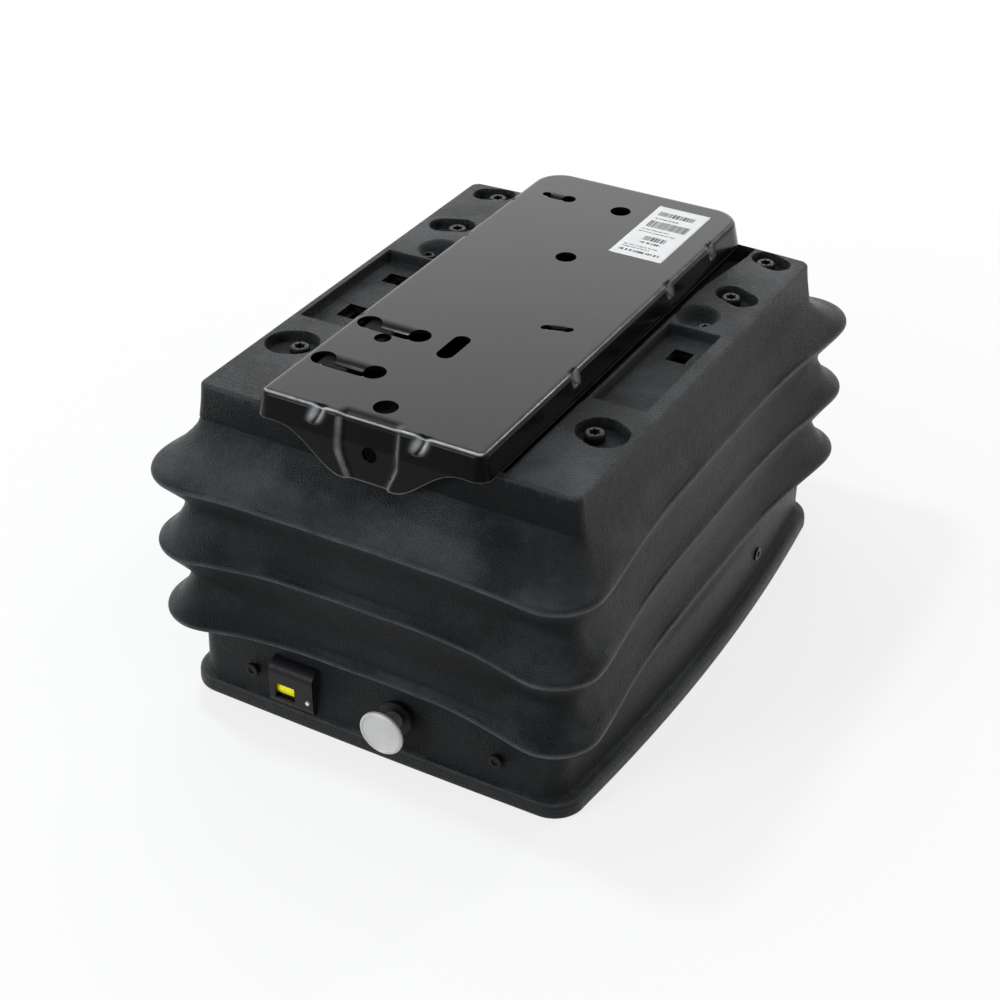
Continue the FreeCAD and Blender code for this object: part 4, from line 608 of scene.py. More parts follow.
FOLD_KEYS = [
    (227, 151, 188.4, 6, 0, 0, 0, 0, 0), (222.5, 152.9, 191, 8, 0, 0, 0, 0, 0),
    (214, 155.5, 198, 14, 1, 0, 0, 0, 0), (201, 167.5, 221, 26, 6, 2, 0, 0, 0),
    (196.8, 175.6, 236, 33, 10, 4, 0, 0, 0), (191.6, 178, 240.4, 36, 10.5, 4, 0, 0, 0),
    (186.4, 175, 236, 33, 10, 4, 0, 0, 0), (168, 161, 219, 20, 3, 3, 0, 0, 0),
    (161, 158.8, 215.6, 16, 1, 1, 0, 0, 0), (154, 160.5, 218, 18, 2, 2, 0, 0, 0),
    (141.6, 168.5, 228, 27, 7, 8, 0, 0, 0), (137.2, 175.6, 236.5, 33, 11, 11, 0, 0, 0),
    (132, 178.2, 240.4, 36, 12, 13, 0, 0, 0), (126.8, 175.2, 236, 33, 11, 12, 0, 0, 0),
    (108, 161.8, 220.5, 20, 3, 5, 0, 0, 0), (101, 159, 217, 16, 1, 2, 0, 0, 0),
    (95, 160.5, 219, 18, 2, 4, 0, 0, 0), (82.6, 168, 228, 27, 8, 9, 0, 0, 0),
    (78.6, 174.6, 236, 33, 11, 12, 0, 0, 0), (73.6, 177, 240, 36, 12, 14, 0, 0, 0),
    (68.6, 174, 235.5, 33, 11, 13, 0, 0, 0), (59.5, 159.5, 214, 20, 3, 4, 4, 1, 0),
    (58, 155, 209.5, 15, 1, 2, 6, 1, 0), (61, 155, 209.5, 15, 1, 2, 6, 1, 0),
    (69, 168, 228, 28, 9, 11, 0, 0, 0), (101, 156, 214, 13, 2, 2, 0, 0, 0),
    (132, 171, 232, 30, 10, 12, 0, 0, 0), (161, 155.8, 212.6, 13, 1, 1, 0, 0, 0),
    (191, 171, 232, 30, 10, 4, 0, 0, 0), (222, 150, 188, 7, 0, 0, 0, 0, 0),
    (227, 151, 188.4, 6, 0, 0, 0, 0, 0),
]
FOLD_SHARES = [0.5, 0.9, 0.9, 1, 1, 1, 0.5, 0.9, 0.9, 0.9, 1, 1, 1, 0.5, 0.9, 0.9, 0.9, 1, 1, 1,
               0.4, 0.5, 0.5, 0.5, 0.4, 0.4, 0.4, 0.4, 0.4]
# Keys at the outermost line of each fold
FOLD_TIPS = (5, 12, 19)
# Upper edge of the bead round the floor, which carries a painted highlight: level and half width
BEAD_EDGE = (12.2, 160.8)


class SUSPENSION_OT_skirt(bpy.types.Operator):
    """Make the foot bead and the upright skirt"""

    bl_idname = "suspension.skirt"
    bl_label = "Skirt"

    def execute(self, context):
        points = moulded_ring(SKIRT_KEYS, SKIRT_SHARES)[0][:-1]
        faces = grid_faces(*points.shape[:2], wrap_rows=True, wrap_columns=True)
        rows = soft_path(SKIRT_KEYS, SKIRT_SHARES)[:-1, :2]
        # a painted highlight along the bead's upper edge
        edge = np.exp(-(np.hypot(*(rows - BEAD_EDGE).T) / 1.2) ** 2)
        painted_highlight = np.repeat(edge, points.shape[1]) * 0.55
        points = points.reshape(-1, 3)
        add_piece("gaiter_skirt", [(points, facing_out(points, faces))], "base", "rubber",
                  ["gaiter"], crease=60, painted_highlight=painted_highlight)
        return {"FINISHED"}


class SUSPENSION_OT_folds(bpy.types.Operator):
    """Make the three draped folds, which flatten as the deck comes down"""

    bl_idname = "suspension.folds"
    bl_label = "Folds"

    def execute(self, context):
        sizes = context.scene.bellows_sizes
        # between the corners a nose is sharp: its neighbours lie on the slopes that meet there
        sharp = np.array(FOLD_KEYS, float)
        for tip in FOLD_TIPS:
            sharp[tip, 0] -= 1.0
            sharp[tip - 1, :3] = sharp[tip, :3] + (5.4, -5.2, -8.8)
            sharp[tip + 1, :3] = sharp[tip, :3] + (-2.6, -4.6, -7.6)
        points, near = moulded_ring(FOLD_KEYS, FOLD_SHARES, sizes.ripple)
        between, _ = moulded_ring(sharp, FOLD_SHARES, sizes.ripple)
        share = ease(near, 0.15, 0.9)[..., None]
        points = (points * share + between * (1 - share))[:-1]
        rows = soft_path(sharp, FOLD_SHARES)[:-1]
        # a painted highlight along the outermost line of each fold
        painted_highlight = np.zeros(len(rows))
        for tip in FOLD_TIPS:
            away = np.hypot(*(rows[:, :2] - sharp[tip, :2]).T)
            painted_highlight = np.maximum(painted_highlight, np.exp(-((away - away.min()) / 1.3) ** 2))
        painted_highlight = np.repeat(painted_highlight, points.shape[1]) * 0.7
        faces = grid_faces(*points.shape[:2], wrap_rows=True, wrap_columns=True)
        points = points.reshape(-1, 3)
        made = add_piece("gaiter_folds", [(points, facing_out(points, faces))], "base", "rubber",
                         ["gaiter"], crease=75, painted_highlight=painted_highlight)
        weld(made)
        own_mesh(made)
        return {"FINISHED"}


class SUSPENSION_OT_bag(bpy.types.Operator):
    """Make the air spring's rolled sleeve, which shortens as the deck comes down"""

    bl_idname = "suspension.bag"
    bl_label = "Air spring sleeve"

    def execute(self, context):
        low, high = (np.array(corner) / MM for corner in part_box("air_spring_sleeve"))
        middle, reach, foot, head = (low + high) / 2, (high[0] - low[0]) / 2, low[2], high[2]
        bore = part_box("air_spring_piston")[1][0] / MM - middle[0] + 0.3
        # distance from the axis, level; the wall runs down outside, round the roll and back up
        keys = [
            (reach - 6, head), (reach - 3.5, head), (reach - 2.6, head - 4),
            (reach - 3.8, head - 7), (reach - 0.4, head - 15),
            (reach + 0.6, (foot + head) / 2), (reach, foot + 20),
            (reach - 1, foot + 5), ((reach + bore) / 2, foot - 1), (bore, foot + 5),
            (bore, foot + 20), (bore + 3, foot + 20), (bore + 3.4, foot + 8),
            ((reach + bore) / 2, foot + 3.5), (reach - 4, foot + 8), (reach - 3.2, foot + 22),
            (reach - 2.6, (foot + head) / 2), (reach - 3.6, head - 15), (reach - 6.8, head - 7),
            (reach - 6, head),
        ]
        radius, level = soft_path(keys, [0.8] * (len(keys) - 2))[:-1].T
        turn = np.linspace(0, 2 * math.pi, 72, endpoint=False)[None]
        points = np.stack([middle[0] + radius[:, None] * np.cos(turn),
                           middle[1] + radius[:, None] * np.sin(turn),
                           np.broadcast_to(level[:, None], (len(level), turn.size))], -1)
        faces = grid_faces(*points.shape[:2], wrap_rows=True, wrap_columns=True)
        points = points.reshape(-1, 3) * MM
        made = add_piece("air_spring_bag", [(points, facing_out(points, faces))], "base",
                         "rubber", ["air_spring_sleeve"], crease=60)
        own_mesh(made)
        return {"FINISHED"}


# Deck

# Pockets on the right side: screw along, middle off the screw, half straight length, radius, lean
POCKETS = [(-110, 6.0, -0.5, 3.0, 16.0, -0.45), (111, 4.5, -0.5, 7.0, 10.5, -0.42),
           (176, 4.0, -0.5, 6.5, 9.5, -0.36)]
SCREW_ACROSS = 119
# Dishes on the right side: middle, along, radius; how much deeper they are than the pockets;
# where their bolt stands
DISH, DISH_DEEPER = (110.5, 69, 17.5), 2.5
DISH_BOLT = (119, 66)
# Gap beside the seat plate: half width between its outer sides where it is narrow, and depth
GAP_HALF, GAP_DEPTH = 92.8, 13
# Openings through the deck, under the plate and beside it: middle, along, width, length
OPENINGS = [(0, 0, 164, 330), (-122, -38, 15, 20), (-122, 21, 15, 15), (120, 20, 15, 17)]
# Trays: near side, far side, front and rear
TRAYS = [(-143, -98, -72, 48), (98, 138, -72, 48)]
DECK_CORNER = 7.0
# Rows of the band round the deck: how far below the top, how far out
DECK_BAND = [(8, 0.4), (14, 1.1), (20, 2.0), (25, 2.8), (27.5, 3.3), (28.2, 2.8), (28.2, 0.6),
             (27.0, 0.1), (20, -1.6), (6.5, -3.2)]


def slot_reach(across, along, middle, place, half, radius, lean):
    """How far each point lies inside a round-ended slot, in millimetres: the radius less the
    distance from the slot's middle line, which leans by an angle."""
    over, beyond = across - middle, along - place
    run = over * math.cos(lean) + beyond * math.sin(lean)
    beside = beyond * math.cos(lean) - over * math.sin(lean)
    return radius - np.hypot(np.maximum(np.abs(run) - half, 0), beside)


def deck_depth(across, along, half, recess):
    """Depth of the deck below its top: pockets, trays, dishes and the gap beside the plate are
    smooth steps of the distance to their outlines, and the deepest one counts. A low lip runs
    along both sides."""
    depth = np.zeros_like(across)
    beside = np.abs(across)
    for place, offset_across, offset_along, straight, radius, lean in POCKETS:
        inside = slot_reach(beside, along, SCREW_ACROSS + offset_across, place + offset_along,
                            straight, radius, lean)
        depth = np.maximum(depth, recess * ease(inside, -0.9, 0.9))
    for near, far, front, rear in TRAYS:
        inside = np.minimum(np.minimum(across - near, far - across),
                            np.minimum(along - front, rear - along))
        depth = np.maximum(depth, recess * ease(inside, -1.0, 1.2))
    middle, place, radius = DISH
    away = np.hypot(beside - middle, along - place)
    depth = np.maximum(depth, (recess + DISH_DEEPER) * ease(radius - away, -0.6, 11.0))
    gap = GAP_HALF + 1.4 * ease(along, -84, -76) + 9 * ease(along, 100, 186)
    ends = ease(along, -186, -182) * ease(189 - along, 0, 4)
    depth = np.maximum(depth, GAP_DEPTH * ease(gap - beside, -0.8, 1.0) * ends)
    rim = half - beside
    return depth + 0.35 * (ease(rim, 1.5, 2.5) - ease(rim, 3.5, 4.5))


def deck_top(sizes):
    """The deck's upper face, in millimetres: a grid, fine beside the plate, whose rim is a quarter
    of a round and whose rear bows out as one less the square of its place across. Returns points,
    faces and how far each point lies inside the rim."""
    half, reach = sizes.half_width / MM, sizes.half_length / MM
    top, edge = sizes.height / MM, sizes.edge / MM
    rim = edge * (1 - np.cos(np.linspace(0, math.pi / 2, 5)))
    sides = np.concatenate([rim, np.arange(rim[-1] + 0.8, half - 86, 0.8)])
    columns = np.concatenate([sides - half, np.linspace(-85, 85, 24), half - sides[::-1]])
    lines = np.concatenate([rim, np.arange(rim[-1] + 1, 2 * reach - rim[-1] - 0.5, 1.05),
                            2 * reach - rim[::-1]]) - reach
    across, along = np.meshgrid(columns, lines)
    placed_x, placed_y, _, _ = round_corners(across, along, half, reach, DECK_CORNER)
    placed_y = placed_y + 4.5 * (1 - (placed_x / half) ** 2) * ease(placed_y, 120, reach)
    inset = np.minimum(half - np.abs(across), reach - np.abs(along))
    over = np.clip(edge - inset, 0, edge)
    height = top - (edge - np.sqrt(np.maximum(edge ** 2 - over ** 2, 0)))
    height = height - deck_depth(across, along, half, sizes.recess / MM)
    faces = grid_faces(*across.shape)
    middle_x, middle_y = (flat.ravel()[faces].mean(1) for flat in (across, along))
    for place_x, place_y, wide, long in OPENINGS:
        inside = (np.abs(middle_x - place_x) < wide / 2) & (np.abs(middle_y - place_y) < long / 2)
        faces, middle_x, middle_y = faces[~inside], middle_x[~inside], middle_y[~inside]
    return np.stack([placed_x, placed_y, height], -1), faces, inset


def deck_band(points, sizes):
    """The band that hangs from the deck's rim, in metres: the rim's outline in rows, each drawn
    wider or narrower by what DECK_BAND says of it."""
    rim = points.reshape(-1, 3)[outline_of(*points.shape[:2])]
    drop, flare = (value[:, None] for value in np.array(DECK_BAND).T)
    scale_x = 1 + flare / (sizes.half_width / MM)
    scale_y = 1 + flare * 0.3 / (sizes.half_length / MM) - (flare < 0) * 0.01
    across, along = rim[None, :, 0] * scale_x, rim[None, :, 1] * scale_y
    level = np.broadcast_to(sizes.height / MM - drop, across.shape)
    band = np.concatenate([rim[None], np.stack([across, along, level], -1)])
    faces = grid_faces(*band.shape[:2], wrap_columns=True)
    band = band.reshape(-1, 3) * MM
    return band, away_from_axis(band, faces)


class SUSPENSION_OT_deck(bpy.types.Operator):
    """Make the moulded deck with its band, pockets, trays, dishes and square holes"""

    bl_idname = "suspension.deck"
    bl_label = "Deck"

    def execute(self, context):
        sizes = context.scene.deck_sizes
        points, faces, inset = deck_top(sizes)
        band, band_faces = deck_band(points, sizes)
        # a painted highlight along the deck's rounded rim
        edge = 0.4 * np.exp(-((inset - 0.6) / 0.7) ** 2).ravel()
        painted_highlight = np.concatenate([edge, np.zeros(len(band))])
        parts = [(points.reshape(-1, 3) * MM, faces), (band, band_faces)]
        made = add_piece("gaiter_deck", parts, "upper_frame", "rubber", ["gaiter"], crease=60,
                         painted_highlight=painted_highlight)
        weld(made)
        return {"FINISHED"}


# Seat plate

# Round holes in the plate's top: across, along, radius
PLATE_HOLES = [(0, 71, 8), (0, 162, 8), (0, -181, 8.7), (-52.5, -102.5, 6.2)]
# Lanced tabs: middle, along, half distance of the end holes, their radii, slit front and rear,
# hinge of the flap, its drop and how far the tab leans across
PLATE_TABS = [
    (-52.5, -146, 20.5, 9, 9, -154.0, -146.2, -137.3, 2.6, 0),
    (-52.5, -87.5, 20.5, 9, 9, -95.0, -87.2, -78.4, 2.6, 0),
    (-56, 162, 9.8, 3.5, 5.8, 158.6, 161, 167, 1.6, 0),
    (47.3, -30.5, 7.8, 3.6, 3.6, -32.2, -29.4, -26, 1.4, 0.26),
]
# Upright slot in the top: middle, along, half straight length, radius
PLATE_SLOT = (-2.5, -89.5, 10.8, 6.5)
# Radii of the plate's corners
FRONT_CORNER, REAR_CORNER = 1.6, 19.0
# Darts in the bends: where they stand; half width, height and depth
SIDE_DARTS, SIDE_DART = (-78, 70, 143), (3.0, 13, 4.6)
FRONT_DARTS, FRONT_DART = (-40.3, 40.3), (3.4, 15, 4.8)
# How strong the painted highlight on a dart's flanks is
FLANK_HIGHLIGHT = 3.2
# Channel in the front: middle, half width, how deep it is on the top and by how much it steps
# deeper below the bend; the tongue's half width at its shoulder
CHANNEL, CHANNEL_HALF, CHANNEL_DIP, CHANNEL_STEP = -0.6, 23.4, 1.3, 2.2
SHOULDER = 74.0
# How far the aprons lean out; rows of the bends by the angle that they have turned, and of the
# aprons by their share of the way down
APRON_LEAN = math.radians(12)
BEND_TURNS = np.linspace(0, math.pi / 2 - APRON_LEAN, 9)[1:, None]
APRON_SHARES = np.linspace(0, 1, 37)[1:, None]
# The front apron lies before this line
APRON_BEFORE = -190 * MM


def plate_cut(across, along):
    """How far each point lies inside the cut-outs of the plate's top: the largest of the rounds,
    the upright slot and the tabs' slits, in millimetres."""
    inside = np.full(across.shape, -50.0)
    for middle, place, radius in PLATE_HOLES:
        inside = np.maximum(inside, radius - np.hypot(across - middle, along - place))
    middle, place, half, radius = PLATE_SLOT
    past = np.maximum(np.abs(along - place) - half, 0)
    inside = np.maximum(inside, radius - np.hypot(across - middle, past))
    for middle, place, half, left, right, front, rear, *_, lean in PLATE_TABS:
        level = along - lean * (across - middle)
        for end, radius in ((middle - half, left), (middle + half, right)):
            inside = np.maximum(inside, radius - np.hypot(across - end, level - place))
        slit = np.minimum(np.minimum(level - front, rear - level), half - np.abs(across - middle))
        inside = np.maximum(inside, slit)
    return inside


def plate_top_dips(across, along, front):
    """How far the plate's top lies below its flat: flaps, by the square of the share of the way
    from their hinge to their slit, and a shallow channel at the front bend."""
    dip = np.zeros_like(across)
    for middle, _, half, left, right, low, rear, hinge, drop, lean in PLATE_TABS:
        level = along - lean * (across - middle)
        flap = ease(half - 0.55 * max(left, right) - np.abs(across - middle), -1.5, 1.5)
        slope = np.clip((hinge - level) / (hinge - rear), 0, 1)
        dip = np.maximum(dip, drop * slope ** 2 * flap * (level > low - 1))
    channel = ease(CHANNEL_HALF - np.abs(across - CHANNEL), -1.5, 5)
    return dip + CHANNEL_DIP * channel * (1 - ease(along, front - 1, front + 7))


def cut_rims(faces, rows, count):
    """Edges round the cut-outs of a grid: those of one face alone that don't lie on its outline."""
    edges = np.stack([faces, np.roll(faces, -1, 1)], -1).reshape(-1, 2)
    keys = np.sort(edges, 1) @ np.array([rows * count, 1])
    _, first, times = np.unique(keys, return_index=True, return_counts=True)
    rims = edges[first[times == 1]]
    row, column = np.divmod(rims, count)
    outer = ((row == 0).all(1) | (row == rows - 1).all(1)
             | (column == 0).all(1) | (column == count - 1).all(1))
    return rims[~outer]


def onto_cuts(places, step=0.05):
    """Points moved onto the outlines of the cut-outs by three of Newton's steps: each goes against
    the slope of plate_cut, its value over the slope's square."""
    for _ in range(3):
        value = plate_cut(places[:, 0], places[:, 1])
        slope_x = (plate_cut(places[:, 0] + step, places[:, 1]) - value) / step
        slope_y = (plate_cut(places[:, 0], places[:, 1] + step) - value) / step
        square = np.maximum(slope_x ** 2 + slope_y ** 2, 0.25)
        places = places - np.stack([slope_x, slope_y], -1) * (value / square)[:, None]
    return places


def plate_top(placed, front, sheet):
    """The plate's flat, in millimetres: a grid of places without its cut-outs, with the dips of
    flaps and channel, and a wall as deep as the sheet round each cut-out."""
    rows, count = placed.shape[:2]
    flat = placed.reshape(-1, 2).copy()
    faces = grid_faces(rows, count)
    middle = flat[faces].mean(1)
    faces = faces[plate_cut(middle[:, 0], middle[:, 1]) < 0]
    rims = cut_rims(faces, rows, count)
    used = np.unique(rims)
    flat[used] = onto_cuts(flat[used])
    level = PLATE_LEVEL - plate_top_dips(flat[:, 0], flat[:, 1], front)
    points = np.column_stack([flat, level])
    below = np.full(rows * count, -1)
    below[used] = rows * count + np.arange(len(used))
    walls = np.stack([rims[:, 1], rims[:, 0], below[rims[:, 0]], below[rims[:, 1]]], -1)
    return np.concatenate([points, points[used] - [0, 0, sheet]]), np.concatenate([faces, walls])


def apron_ways(across, along, over_x, over_y, half, reach):
    """Which way the apron looks at each point of the outline: straight out along the sides, the
    front and the rear, and away from the middle of the arc round a corner."""
    side = np.abs(np.abs(across) - half) < 1e-6
    end = ~side | (np.abs(np.abs(along) - reach) < 1e-6)
    straight = np.stack([np.where(side, np.sign(across), 0.0) * ~end,
                         np.where(end, np.sign(along), 0.0)], -1)
    lean = np.stack([np.sign(across) * over_x, np.sign(along) * over_y], -1)
    turned = lean / np.maximum(np.hypot(*lean.T), 1e-9)[:, None]
    bent = (over_x > 0) & (over_y > 0)
    return np.where(bent[:, None], turned, straight)


def apron_rows(sizes, drop, across, ways):
    """How far out and how far down the rows of the bends and aprons lie: an arc with the bend's
    radius, a straight run that leans out as far as the foot, and a steeper one below it, on the
    tongue in front and on the lower apron behind. Returns outs, downs and the last row's depth."""
    bend = sizes.bend / MM
    bend_out, bend_down = bend * np.sin(BEND_TURNS), bend * (1 - np.cos(BEND_TURNS))
    tongue = sizes.tongue / MM * (1 - ease(np.abs(across) / SHOULDER, 0.27, 1.0)) ** 1.25
    depth = drop + np.where((ways[:, 1] < -0.7) & (np.abs(across) < SHOULDER), tongue, 0)
    depth = depth + sizes.rear_skirt / MM * ease(ways[:, 1], 0.1, 0.8)
    run = bend_down[-1] + (depth - bend_down[-1]) * APRON_SHARES
    past = np.minimum(run, drop) - bend_down[-1]
    run_out = bend_out[-1] + past * math.tan(APRON_LEAN) + np.maximum(run - drop, 0) * 0.05
    shape = (len(BEND_TURNS), len(across))
    outs = np.concatenate([np.broadcast_to(bend_out, shape), run_out])
    return outs, np.concatenate([np.broadcast_to(bend_down, shape), run]), depth


def dart(beside, there, downs, size):
    """A dart pressed across a bend: e to the minus square of the distance beside it, times half a
    sine down the bend. Returns how deep it presses and how rubbed its flanks are."""
    half, tall, deep = size
    near = there * np.exp(-(beside / half) ** 2)
    pressed = near * np.sin(np.pi * np.clip((downs + 2.0) / tall, 0, 1))
    return np.array([pressed * deep, FLANK_HIGHLIGHT * pressed * (1 - near) * (downs > 1)])


def pressings(across, along, ways, downs, drop, depth):
    """How deep the darts and the channel press into the bends and aprons, and how rubbed every
    point there is. The channel's sides are smooth steps, closer together on the tongue."""
    front = ways[:, 1] < -0.7
    groove, painted_highlight = np.zeros_like(downs), np.zeros_like(downs)
    # painted highlight along the bends where they have turned about thirty degrees, stronger in
    # front, and on the apron's foot
    shine = np.exp(-((BEND_TURNS - math.radians(30)) / math.radians(10)) ** 2)
    painted_highlight[:len(shine)] = shine * np.where(front, 1.0, 0.35)
    painted_highlight[-1] = 0.3
    darts = [dart(along - place, np.abs(ways[:, 0]) > 0.9, downs, SIDE_DART)
             for place in SIDE_DARTS]
    darts += [dart(across - place + (downs - 4) * 0.35, front, downs, FRONT_DART)
              for place in FRONT_DARTS]
    for pressed, flank in darts:
        groove += pressed
        painted_highlight += flank
    width = CHANNEL_HALF - 7.5 * ease(downs, drop + 6, depth[None] + 2)
    inside = width - np.abs(across - CHANNEL)
    step = front * ease(inside, -0.9, 0.9)
    groove += CHANNEL_DIP * front * ease(inside, -1.5, 5)
    groove += CHANNEL_STEP * step * ease(downs, 0.3, 5)
    # painted highlight along the channel's sides below the bend
    painted_highlight += 0.35 * front * np.exp(-(inside / 1.3) ** 2) * ease(downs, 1, 5)
    return groove, painted_highlight


def plate_aprons(sizes, outline, rim, ways):
    """The bends and aprons carried round the outline, with the turned edge of the sheet, in metres:
    each row lies out and down from the outline, less what is pressed in square to the sheet."""
    across, along = outline.T
    drop = PLATE_LEVEL - sizes.foot / MM
    outs, downs, depth = apron_rows(sizes, drop, across, ways)
    groove, painted_highlight = pressings(across, along, ways, downs, drop, depth)
    upward = np.full(APRON_SHARES.shape, math.sin(APRON_LEAN))
    upward = np.concatenate([np.cos(BEND_TURNS), upward])
    outs = outs - groove * np.sqrt(1 - upward ** 2)
    downs = downs + groove * upward
    rows = np.stack([across + ways[:, 0] * outs, along + ways[:, 1] * outs,
                     PLATE_LEVEL - downs], -1)
    foot, inward = rows[-1], np.column_stack([ways, np.zeros(len(ways))]) * sizes.sheet / MM
    lips = np.stack([foot - inward * 0.5, foot - inward + [0, 0, 0.15], foot - inward + [0, 0, 9]])
    strip = np.concatenate([rim[None], rows, lips])
    faces = grid_faces(*strip.shape[:2], wrap_columns=True)
    strip = strip.reshape(-1, 3) * MM
    return strip, away_from_axis(strip, faces), painted_highlight


def round_opening(points, faces, sizes):
    """A round cut through the front apron: faces whose middle lies inside go, the rim's points move
    onto the circle, and a wall of the sheet's depth runs back from it."""
    radius, level = sizes.tongue_hole / 2, sizes.tongue_hole_at
    middle = points[faces].mean(1)
    inside = np.hypot(middle[:, 0], middle[:, 2] - level) < radius
    inside &= middle[:, 1] < APRON_BEFORE
    gone, faces = faces[inside], faces[~inside]
    rim = np.intersect1d(gone, faces)
    points = points.copy()
    offset = points[rim][:, [0, 2]] - [0, level]
    scaled = offset * (radius / np.hypot(*offset.T))[:, None]
    points[rim, 0], points[rim, 2] = scaled[:, 0], scaled[:, 1] + level
    order = rim[np.argsort(np.arctan2(scaled[:, 1], scaled[:, 0]))]
    back = points[order] + [0, sizes.sheet, 0]
    first = np.arange(len(order)) + len(points)
    wall = np.stack([order, np.roll(order, -1), np.roll(first, -1), first], -1)
    return np.concatenate([points, back]), np.concatenate([faces, wall])


class SUSPENSION_OT_plate(bpy.types.Operator):
    """Make the pressed seat plate: bends, darts, front channel, tongue, holes and lanced tabs"""

    bl_idname = "suspension.plate"
    bl_label = "Seat plate"

    def execute(self, context):
        sizes = context.scene.plate_sizes
        bend, sheet = sizes.bend / MM, sizes.sheet / MM
        half = sizes.half_width / MM - bend
        front, rear = -sizes.front / MM + bend, sizes.rear / MM - bend
        # lines lie close together where the plate has cut-outs
        lines = np.concatenate([
            np.arange(front, -24, 1.05), np.arange(-22, 58, 3.0), np.arange(60, 84, 1.2),
            np.arange(87, 132, 3.0), np.arange(134, 172, 1.2), np.arange(175, rear - 10, 3.0),
            np.linspace(rear - 9, rear, 8),
        ])
        middle, reach = (front + rear) / 2, (rear - front) / 2
        across, along = np.meshgrid(np.linspace(-half, half, 133), lines - middle)
        corner = np.where(along > 0, REAR_CORNER, FRONT_CORNER)
        placed_x, placed_y, over_x, over_y = round_corners(across, along, half, reach, corner)
        placed = np.stack([placed_x, placed_y + middle], -1)
        points, faces = plate_top(placed, front, sheet)
        loop = outline_of(*across.shape)
        outline = (value.ravel()[loop] for value in (across, along, over_x, over_y))
        ways = apron_ways(*outline, half, reach)
        strip, strip_faces, painted_highlight = plate_aprons(
            sizes, placed.reshape(-1, 2)[loop], points[loop], ways)
        strip, strip_faces = round_opening(strip, strip_faces, sizes)
        # painted highlights lie on the bends and aprons only
        painted_highlighting = np.zeros(len(points) + len(strip))
        start = len(points) + len(loop)
        painted_highlighting[start:start + painted_highlight.size] = painted_highlight.ravel()
        made = add_piece("seat_plate_skin", [(points * MM, faces), (strip, strip_faces)],
                         "upper_frame", "plate_steel", ["seat_plate"], crease=50, painted_highlight=painted_highlighting)
        weld(made)
        return {"FINISHED"}


# Fasteners and label

# A screw's head: radius, swing of its six lobes and level above its seat, ring by ring
HEAD_RADII = [0, 1.2, 3.3, 3.45, 3.7, 5.4, 6.6, 7.3, 7.5, 7.5, 4.0, 4.0, 0]
HEAD_LOBES = [0, 0.3, 0.62, 0.62, 0.62, 0, 0, 0, 0, 0, 0, 0, 0]
HEAD_LEVELS = [3.0, 3.0, 3.2, 5.8, 6.3, 6.6, 6.2, 5.3, 4.0, 0.15, 0.15, -9, -9]


class SUSPENSION_OT_screws(bpy.types.Operator):
    """Make the six-lobed deck screws and the two bolts in the dishes"""

    bl_idname = "suspension.screws"
    bl_label = "Deck screws"

    def execute(self, context):
        sizes, parts = context.scene.deck_sizes, []
        seat = (sizes.height - sizes.recess) / MM
        radii, levels = np.array(HEAD_RADII), np.array(HEAD_LEVELS)
        across, along = DISH_BOLT
        for side in (-1, 1):
            parts += [screw_head(radii, HEAD_LOBES, levels, (side * SCREW_ACROSS, pocket[0], seat))
                      for pocket in POCKETS]
            parts.append(screw_head(radii * 0.8, HEAD_LOBES, levels * 0.7,
                                    (side * across, along, seat - 2.0)))
        made = add_piece("deck_screw_heads", parts, "upper_frame", "screw_steel", ["deck_screws"])
        weld(made)
        return {"FINISHED"}


# Label: how high it lies above the plate, and its thickness
LABEL_LIFT, CARD = 0.16, 0.12


class SUSPENSION_OT_label(bpy.types.Operator):
    """Make the paper label on the seat plate"""

    bl_idname = "suspension.label"
    bl_label = "Label"

    def execute(self, context):
        low, high = (np.array(corner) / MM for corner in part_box("rating_label"))
        wide, tall = np.meshgrid(np.linspace(0, 1, 23), np.linspace(0, 1, 46))
        size = high - low
        across, along = low[0] + wide * size[0], low[1] + tall * size[1]
        corner = (np.minimum(np.minimum(wide, 1 - wide) * size[0], 4)
                  + np.minimum(np.minimum(tall, 1 - tall) * size[1], 4))
        lift = 0.12 * ease(2.2 - corner, 0, 2.2)
        lift = lift + 0.05 * np.sin(across * 0.35) * np.sin(along * 0.21)
        points = np.stack([across, along, PLATE_LEVEL + LABEL_LIFT + np.clip(lift, 0, 1)], -1)
        faces = grid_faces(*wide.shape)
        made = add_piece("label_card", [(points.reshape(-1, 3) * MM, faces)], "upper_frame",
                         "paper", ["rating_label"])
        print_map = made.data.uv_layers.new(name="print")
        corners = np.zeros(len(made.data.loops), int)
        made.data.loops.foreach_get("vertex_index", corners)
        flat = np.stack([wide.ravel(), tall.ravel()], -1)[corners]
        print_map.data.foreach_set("uv", flat.ravel())
        thick = made.modifiers.new("paper", "SOLIDIFY")
        thick.thickness, thick.offset = CARD * MM, -1
        return {"FINISHED"}


# Stage

# Lamps: name, place, aim, size, power, colour
LAMPS = (
    ("lamp_top", (-0.7, -0.1, 1.7), (0, 0, 0.2), 0.16, 11, (0.88, 0.95, 1.0)),
    ("lamp_back", (-1.1, 1.8, 1.6), (0, 0, 0.25), 2.0, 16, (1.0, 1.0, 1.0)),
    ("lamp_side", (0.75, 1.58, 1.63), (0.1, 0, 0.2), 0.2, 8, (1.0, 1.0, 1.0)),
    ("lamp_front", (-1.0, -2.2, 0.9), (0, 0, 0.15), 0.8, 34, (0.90, 0.96, 1.0)),
    ("lamp_right", (2.2, -0.3, 1.0), (0, 0, 0.15), 1.2, 8, (1.0, 1.0, 1.0)),
)
WORLD_STRENGTH = 0.36


